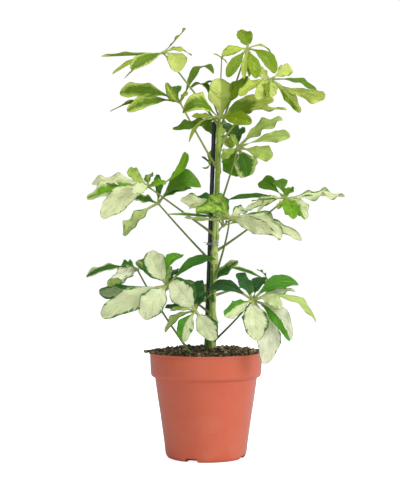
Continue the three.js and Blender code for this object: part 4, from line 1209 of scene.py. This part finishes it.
# %% Strew the crumbs
PEAT, SPILLED, SHELF = 620, 70, 150  # how many crumbs lie on the soil, over the rim and along it
BARK, GRAINS = 90, 34
SPILL_ANGLE, SPILL_REACH = 180, 10.0  # degrees round from +X, and how far out the spill reaches
chance = np.random.default_rng(11)
spots = strewn(PEAT, 3)
size = 0.7 + 2.1 * chance.random((PEAT, 1)) ** 2.6
spill = np.radians(SPILL_ANGLE + 17 * chance.normal(size=SPILLED).clip(-2.2, 2.2))
out = 57.0 + SPILL_REACH * chance.random(SPILLED) * np.exp(-((spill - math.radians(SPILL_ANGLE)) / 0.28) ** 2)
over_rim = np.stack([out * np.cos(spill), out * np.sin(spill), 112.4 + 1.2 * chance.random(SPILLED)], -1)
a = np.radians(360 * chance.random(SHELF))
on_rim = np.stack([SOIL_EDGE * np.cos(a), SOIL_EDGE * np.sin(a), 111.6 + 0.9 * chance.random(SHELF)], -1)
peat_sizes = np.concatenate([
    size * (0.8 + 0.5 * chance.random((PEAT, 3))),
    0.9 + 0.9 * chance.random((SPILLED, 3)),
    0.5 + 0.7 * chance.random((SHELF, 3))])
piece("peat_crumbs", crumb_shells(np.concatenate([spots, over_rim, on_rim]), peat_sizes, 5),
      [crumb_material("peat_crumb", (22, 17, 12), (176, 160, 116))])
bark_ranges = ((1.6, 2.2), (0.9, 0.8), (0.35, 0.3))  # the least of each half size, and what chance adds
bark_sizes = np.stack([least + more * chance.random(BARK) for least, more in bark_ranges], -1)
piece("bark_chips", crumb_shells(strewn(BARK, 21) + (0, 0, 0.6), bark_sizes, 8, 0.18),
      [crumb_material("bark_chip", (58, 36, 22), (150, 112, 70), 300.0)])
grain_sizes = 0.5 + 0.55 * chance.random((GRAINS, 3))
piece("perlite_grains", crumb_shells(strewn(GRAINS, 41) + (0, 0, 0.4), grain_sizes, 9, 0.25),
      [crumb_material("perlite_grain", (168, 160, 140), (226, 222, 206))])

# %% [markdown]
# Straws and rootlets lie over the peat. Each is a thin rod on a bent curve just above the skin.

# %% Straws
STRAWS, STRAW_EDGE = 46, 57  # how many, and the radius that none of them passes
straws = []
chance = np.random.default_rng(17)
for x, y, z in strewn(STRAWS, 61, 54.0, 9.0):
    heading = 2 * np.pi * chance.random()
    half = 2.5 + 5.5 * chance.random()
    ahead = np.array([math.cos(heading), math.sin(heading), 0]) * half
    ends = np.array([x, y, z]) + np.stack([-ahead, ahead])
    pulled_in = np.minimum(1, STRAW_EDGE / np.maximum(np.hypot(ends[:, 0], ends[:, 1]), 1))
    ends = ends * pulled_in[:, None] * (1, 1, 0)
    heights = soil_height(ends[:, 0], ends[:, 1]) + 0.5
    start, end = (np.array([*p[:2], h]) for p, h in zip(ends, heights))
    bow = (start + end) / 2 + chance.normal(size=3) * (1.6, 1.6, 0.5) + (0, 0, 1.2)
    share = np.linspace(0, 1, 9)
    radius = (0.22 + 0.22 * chance.random()) * (1 - 0.4 * share)
    straws.append(rod(bezier(start, bow, end, share), radius, 6, chance=chance.random()))
piece("straws", straws, [crumb_material("dry_straw", (120, 96, 56), (206, 188, 138), 400.0)])

# %% [markdown]
# ## Stem, stake and tie
#
# The stem is green with darker stripes below and paler above. The dark stripes are pushed to its
# left and a pale tone to its right: painted shade on the side away from the key lamp and painted
# light on the side towards it. It is ringed at each old leaf and swollen where a stalk leaves it.
# A bevelled curve would give a smooth pipe.
# A rod whose radius is a function of height and angle gives the rings, the swellings and the fine
# ribs in one skin.

# %% The stem
STEM_FOOT, SOIL_LINE, STEM_TOP = 52, 110, 363  # heights
OLD_SCARS = (126, 143, 149, 166, 178, 199, 206, 246, 272, 284)  # heights of leaves that fell off


def bell(offset, width):
    """A bell curve: 1 at 0, and narrow where the width is small."""
    return np.exp(-(offset / width) ** 2)


def stem_shell():
    """A rod whose radius is r(z) (1 + ribs(a)) + rings(z) + swellings(z, a).

    A ring is a narrow bell curve in z, and a swelling is a bell in z times the nearness of the
    angle to the stalk that leaves there. The last few millimetres narrow to the tip.
    """
    z = np.concatenate([
        np.linspace(STEM_FOOT, SOIL_LINE, 12, endpoint=False), np.linspace(SOIL_LINE, STEM_TOP, 330)])
    centre = stem_at(z)
    a = np.linspace(0, 2 * np.pi, 30, endpoint=False)[None, :]
    radius = centre[:, 3:] * (1 + 0.02 * np.sin(5 * a + z[:, None] / 14) + 0.012 * np.sin(11 * a))
    for _, start, hub, *_ in LEAVES:
        if isinstance(start, tuple):
            continue
        at = stem_at(start)
        aim = math.atan2(hub[1] - at[1], hub[0] - at[0])
        facing = np.maximum(np.cos(a - aim), 0) ** 2
        above = z[:, None] - start
        radius = radius + 1.1 * bell(above + 1.0, 3.2) * facing
        radius = radius + 0.32 * bell(above + 3.4, 0.55) - 0.16 * bell(above + 4.6, 0.5)
    for old in OLD_SCARS:
        radius = radius + 0.22 * bell(z[:, None] - old, 0.6)
    radius = radius * (1 - 0.45 * smooth(z[:, None], STEM_TOP - 5, STEM_TOP))
    share = (z - SOIL_LINE) / (STEM_TOP - SOIL_LINE)
    return rod(centre[:, :3], radius, 30, side=(0, 1, 0.0), share=share[:, None] * np.ones(30))


# %% Material: the stem
bark, tree, shader, place = new_material("green_stem")
share = node(tree, "ShaderNodeAttribute", out=2, attribute_name="share")
long_fibre = node(tree, "ShaderNodeMapping", {"Vector": place, "Scale": (700, 700, 45)})
fibre = node(tree, "ShaderNodeTexNoise", {"Vector": long_fibre, "Scale": 1.0, "Detail": 4.0})
mottle = node(tree, "ShaderNodeTexNoise", {"Vector": place, "Scale": 130.0, "Detail": 4.0})
scar = node(tree, "ShaderNodeMapping", {"Vector": place, "Scale": (160, 160, 420)})
scars = ease(tree, node(tree, "ShaderNodeTexNoise", {"Vector": scar, "Scale": 1.0, "Detail": 2.0}), 0.6, 0.68)
stripe = node(tree, "ShaderNodeMapping", {"Vector": place, "Scale": (260, 260, 11)})
stripes = node(tree, "ShaderNodeTexNoise", {"Vector": stripe, "Scale": 1.0, "Detail": 3.0})
# Painted shade and light: the stripes are shifted by x, so the stem's left side, away from the key lamp, gets
# more dark green and its right side more pale cream.
east = split(tree, place)[0]
stripes = calc(tree, "SUBTRACT", stripes, calc(tree, "MULTIPLY_ADD", east, 10.0, -0.085))
colour = blend(tree, ease(tree, share, 0.3, 0.8), rgb(96, 146, 24), rgb(148, 176, 66))
shaded = calc(tree, "MULTIPLY", ease(tree, stripes, 0.48, 0.54), ease(tree, share, 1.0, 0.4))
colour = blend(tree, shaded, colour, rgb(50, 98, 8))
colour = blend(tree, ease(tree, stripes, 0.45, 0.39), colour, rgb(196, 204, 132))
# The foot and the sheaths are made pale lime on their right side: partly their own pale colour, partly
# painted light where the leaves above shade them.
foot = calc(tree, "MULTIPLY", ease(tree, share, 0.1, 0.0), ease(tree, east, 0.004, 0.008))
colour = blend(tree, foot, colour, rgb(208, 224, 132))
colour = blend(tree, calc(tree, "MULTIPLY", ease(tree, mottle, 0.52, 0.7), 0.5), colour, rgb(80, 120, 32))
colour = blend(tree, calc(tree, "MULTIPLY", scars, 0.6), colour, rgb(190, 164, 112))
colour = blend(tree, calc(tree, "MULTIPLY", fibre, 0.05), colour, rgb(196, 204, 150))
tree.links.new(colour, shader.inputs["Base Color"])
tree.links.new(calc(tree, "MULTIPLY_ADD", fibre, 0.2, 0.5), shader.inputs["Roughness"])
shader.inputs["Specular IOR Level"].default_value = 0.3
height = calc(tree, "ADD", fibre, scars)
bump = node(tree, "ShaderNodeBump", {"Height": height, "Strength": 0.4, "Distance": 0.0003})
tree.links.new(bump, shader.inputs["Normal"])


# %% [markdown]
# At the soil and at three places above it, pale leaf bases still clasp the stem, like the sheath
# of a leek. Their pale right sides are partly painted light, as on the stem's foot. One of them
# stands off the stem.

# %% Sheaths on the stem
def sheath(aim, low, high, spread, thick=0.9):
    """A curved scale on the stem over (t, a): it clasps the lower part and narrows to a tip.

    Radius = stem + 0.5 + spread (1 - t)^2 at its middle, and half its angle is
    1.25 (1 - 0.92 t)^0.6 about aim.
    """
    t = np.linspace(0, 1, 22)[:, None]
    z = low + (high - low) * t
    foot = stem_at(z[:, 0])
    turn = np.linspace(0, 2 * np.pi, 26, endpoint=False)[None, :]
    angle = aim + 1.25 * (1 - 0.92 * t) ** 0.6 * np.cos(turn)
    out = foot[:, 3:] + 0.5 + spread * (1 - t) ** 2 + 0.5 * thick * np.sin(turn) * (1.05 - t)
    x = foot[:, :1] + out * np.cos(angle)
    y = foot[:, 1:2] + out * np.sin(angle)
    return shell(np.stack([x, y, z + 0 * turn], -1), share=0.02)


SHEATHS = [  # the way it faces in degrees, its foot, its tip and how far it stands off
    (200, 111, 134, 1.6), (300, 111, 126, 1.2), (20, 111, 130, 1.0), (285, 146, 166, 0.7),
    (-10, 143, 156, 3.2), (290, 206, 226, 0.6)]
scales = [sheath(math.radians(aim), low, high, spread) for aim, low, high, spread in SHEATHS]
piece("stem_body", [stem_shell()] + scales, [bark], ["stem"])

# %% [markdown]
# The stake is a thin rod with a dark blue-black plastic coat, faintly ribbed so that ties don't
# slip, with a domed cap. The tie is a clear band looped round both, twisted shut, with two ends.

# %% The stake
STAKE_FOOT, STAKE_TOP = np.array([-3.1, 5.2, 22]), np.array([9.0, 4.6, 360])
STAKE_RADIUS = 2.36
STAKE_SIDES = 28


def stake_shell():
    """A straight rod over (s, a): radius + ribs(s, a), times a dome at its top and a taper below."""
    length = np.linalg.norm(STAKE_TOP - STAKE_FOOT)
    cap = length - np.array([2.2, 1.4, 0.7, 0.25, 0.0])
    along = np.concatenate([[0, 0.4, 1.2], np.linspace(2, length - 3, 420), cap])
    path = STAKE_FOOT + (STAKE_TOP - STAKE_FOOT) * (along / length)[:, None]
    turn = np.linspace(0, 2 * np.pi, STAKE_SIDES, endpoint=False)[None, :]
    into_cap = ((along - cap[0]) / 2.25).clip(0, 1)
    dome = np.sqrt(np.clip(1 - into_cap ** 2, 0.02, 1))[:, None]
    taper = smooth(along, -1.5, 2.0)[:, None]
    ribbed = STAKE_RADIUS + 0.05 * np.sin(along / 2.1)[:, None] + 0.03 * np.cos(9 * turn)
    return rod(path, ribbed * dome * taper, STAKE_SIDES, side=(0, 1, 0))


# %% Material and piece: the stake
coated, tree, shader, place = new_material("coated_stake")
dust, scratch, pits = use(
    tree, film, {"Place": place, "Low": 0.1, "High": 0.3}, "Dust", "Scratch", "Pits")
drift = node(tree, "ShaderNodeTexNoise", {"Vector": place, "Scale": 120.0, "Detail": 3.0})
colour = blend(tree, drift, rgb(20, 22, 34), rgb(38, 42, 52))
colour = blend(tree, calc(tree, "MULTIPLY", dust, 0.25), colour, rgb(96, 98, 92))
colour = blend(tree, calc(tree, "MULTIPLY", scratch, 0.5), colour, rgb(120, 122, 124))
tree.links.new(colour, shader.inputs["Base Color"])
tree.links.new(calc(tree, "MULTIPLY_ADD", dust, 0.3, 0.3), shader.inputs["Roughness"])
bump = node(tree, "ShaderNodeBump", {"Height": pits, "Strength": 0.2, "Distance": 0.0002})
tree.links.new(bump, shader.inputs["Normal"])
piece("stake_rod", [stake_shell()], [coated], ["stake"])

# %% The tie
TIE_HEIGHT = 228
BAND_RADIUS, TAIL_RADIUS = 0.42, 0.34
STAKE_LOOP, STEM_LOOP = 3.1, 4.1  # the band's radius round the stake and round the stem
climb = (TIE_HEIGHT - STAKE_FOOT[2]) / (STAKE_TOP - STAKE_FOOT)[2]
stake_spot = (STAKE_FOOT + (STAKE_TOP - STAKE_FOOT) * climb)[:2]
stem_spot = stem_at(TIE_HEIGHT)[:2]
reach = np.hypot(*(stem_spot - stake_spot))
toward = (stem_spot - stake_spot) / reach
beside = np.array([-toward[1], toward[0]])


def arc(radius, low, high):
    """22 points of the circle radius (cos a, sin a), for a from low to high in degrees."""
    turn = np.radians(np.linspace(low, high, 22))
    return radius * np.stack([np.cos(turn), np.sin(turn)], -1)


def loop(tilt, drop, grow):
    """A stadium round stake and stem: two half circles joined by straight sides, gently tilted."""
    left = arc(STAKE_LOOP + grow, 90, 270)
    right = arc(STEM_LOOP + grow, -90, 90) + (reach, 0)
    flat = np.concatenate([left, right, left[:1] + (0.0, 0.01)])
    xy = stake_spot + flat[:, :1] * toward + flat[:, 1:] * beside
    return np.column_stack([xy, TIE_HEIGHT + drop + tilt * (flat[:, 0] - reach / 2)])


def tail(heading, length, lift):
    """A loose end that leaves the twist and curls away."""
    start = np.array([*(stake_spot - toward * 3.3), TIE_HEIGHT])
    end = start + np.array([math.cos(heading), math.sin(heading), 0]) * length + (0, 0, lift)
    return bezier(start, (start + end) / 2 + (0, -0.8, 1.2), end, np.linspace(0, 1, 14))


def twist():
    """The knot beside the stake: a helix of radius 0.7 and just under two turns."""
    share = np.linspace(0, 1, 24)[:, None]
    ring = 0.7 * np.concatenate([np.cos(12 * share), np.sin(12 * share)], -1)
    return np.concatenate([stake_spot - toward * 3.4 + ring - (0, 0.6), TIE_HEIGHT - 1.6 + 3.2 * share], -1)


# %% Material and piece: the tie
loops = [rod(loop(*bent), BAND_RADIUS, 8, side=(0, 0, 1)) for bent in ((0.12, 0.6, 0), (-0.1, -0.6, 0.1))]
tails = [rod(tail(math.radians(heading), length, lift), TAIL_RADIUS, 8)
         for heading, length, lift in ((200, 5.0, 1.5), (240, 4.4, -1.2))]
clear_band, tree, shader, place = new_material("clear_band")
cloud = node(tree, "ShaderNodeTexNoise", {"Vector": place, "Scale": 600.0, "Detail": 3.0})
tree.links.new(blend(tree, cloud, rgb(118, 138, 150), rgb(190, 202, 206)), shader.inputs["Base Color"])
tree.links.new(calc(tree, "MULTIPLY_ADD", cloud, 0.2, 0.16), shader.inputs["Roughness"])
piece("tie_band", [*loops, rod(twist(), BAND_RADIUS, 8), *tails], [clear_band], ["tie"])
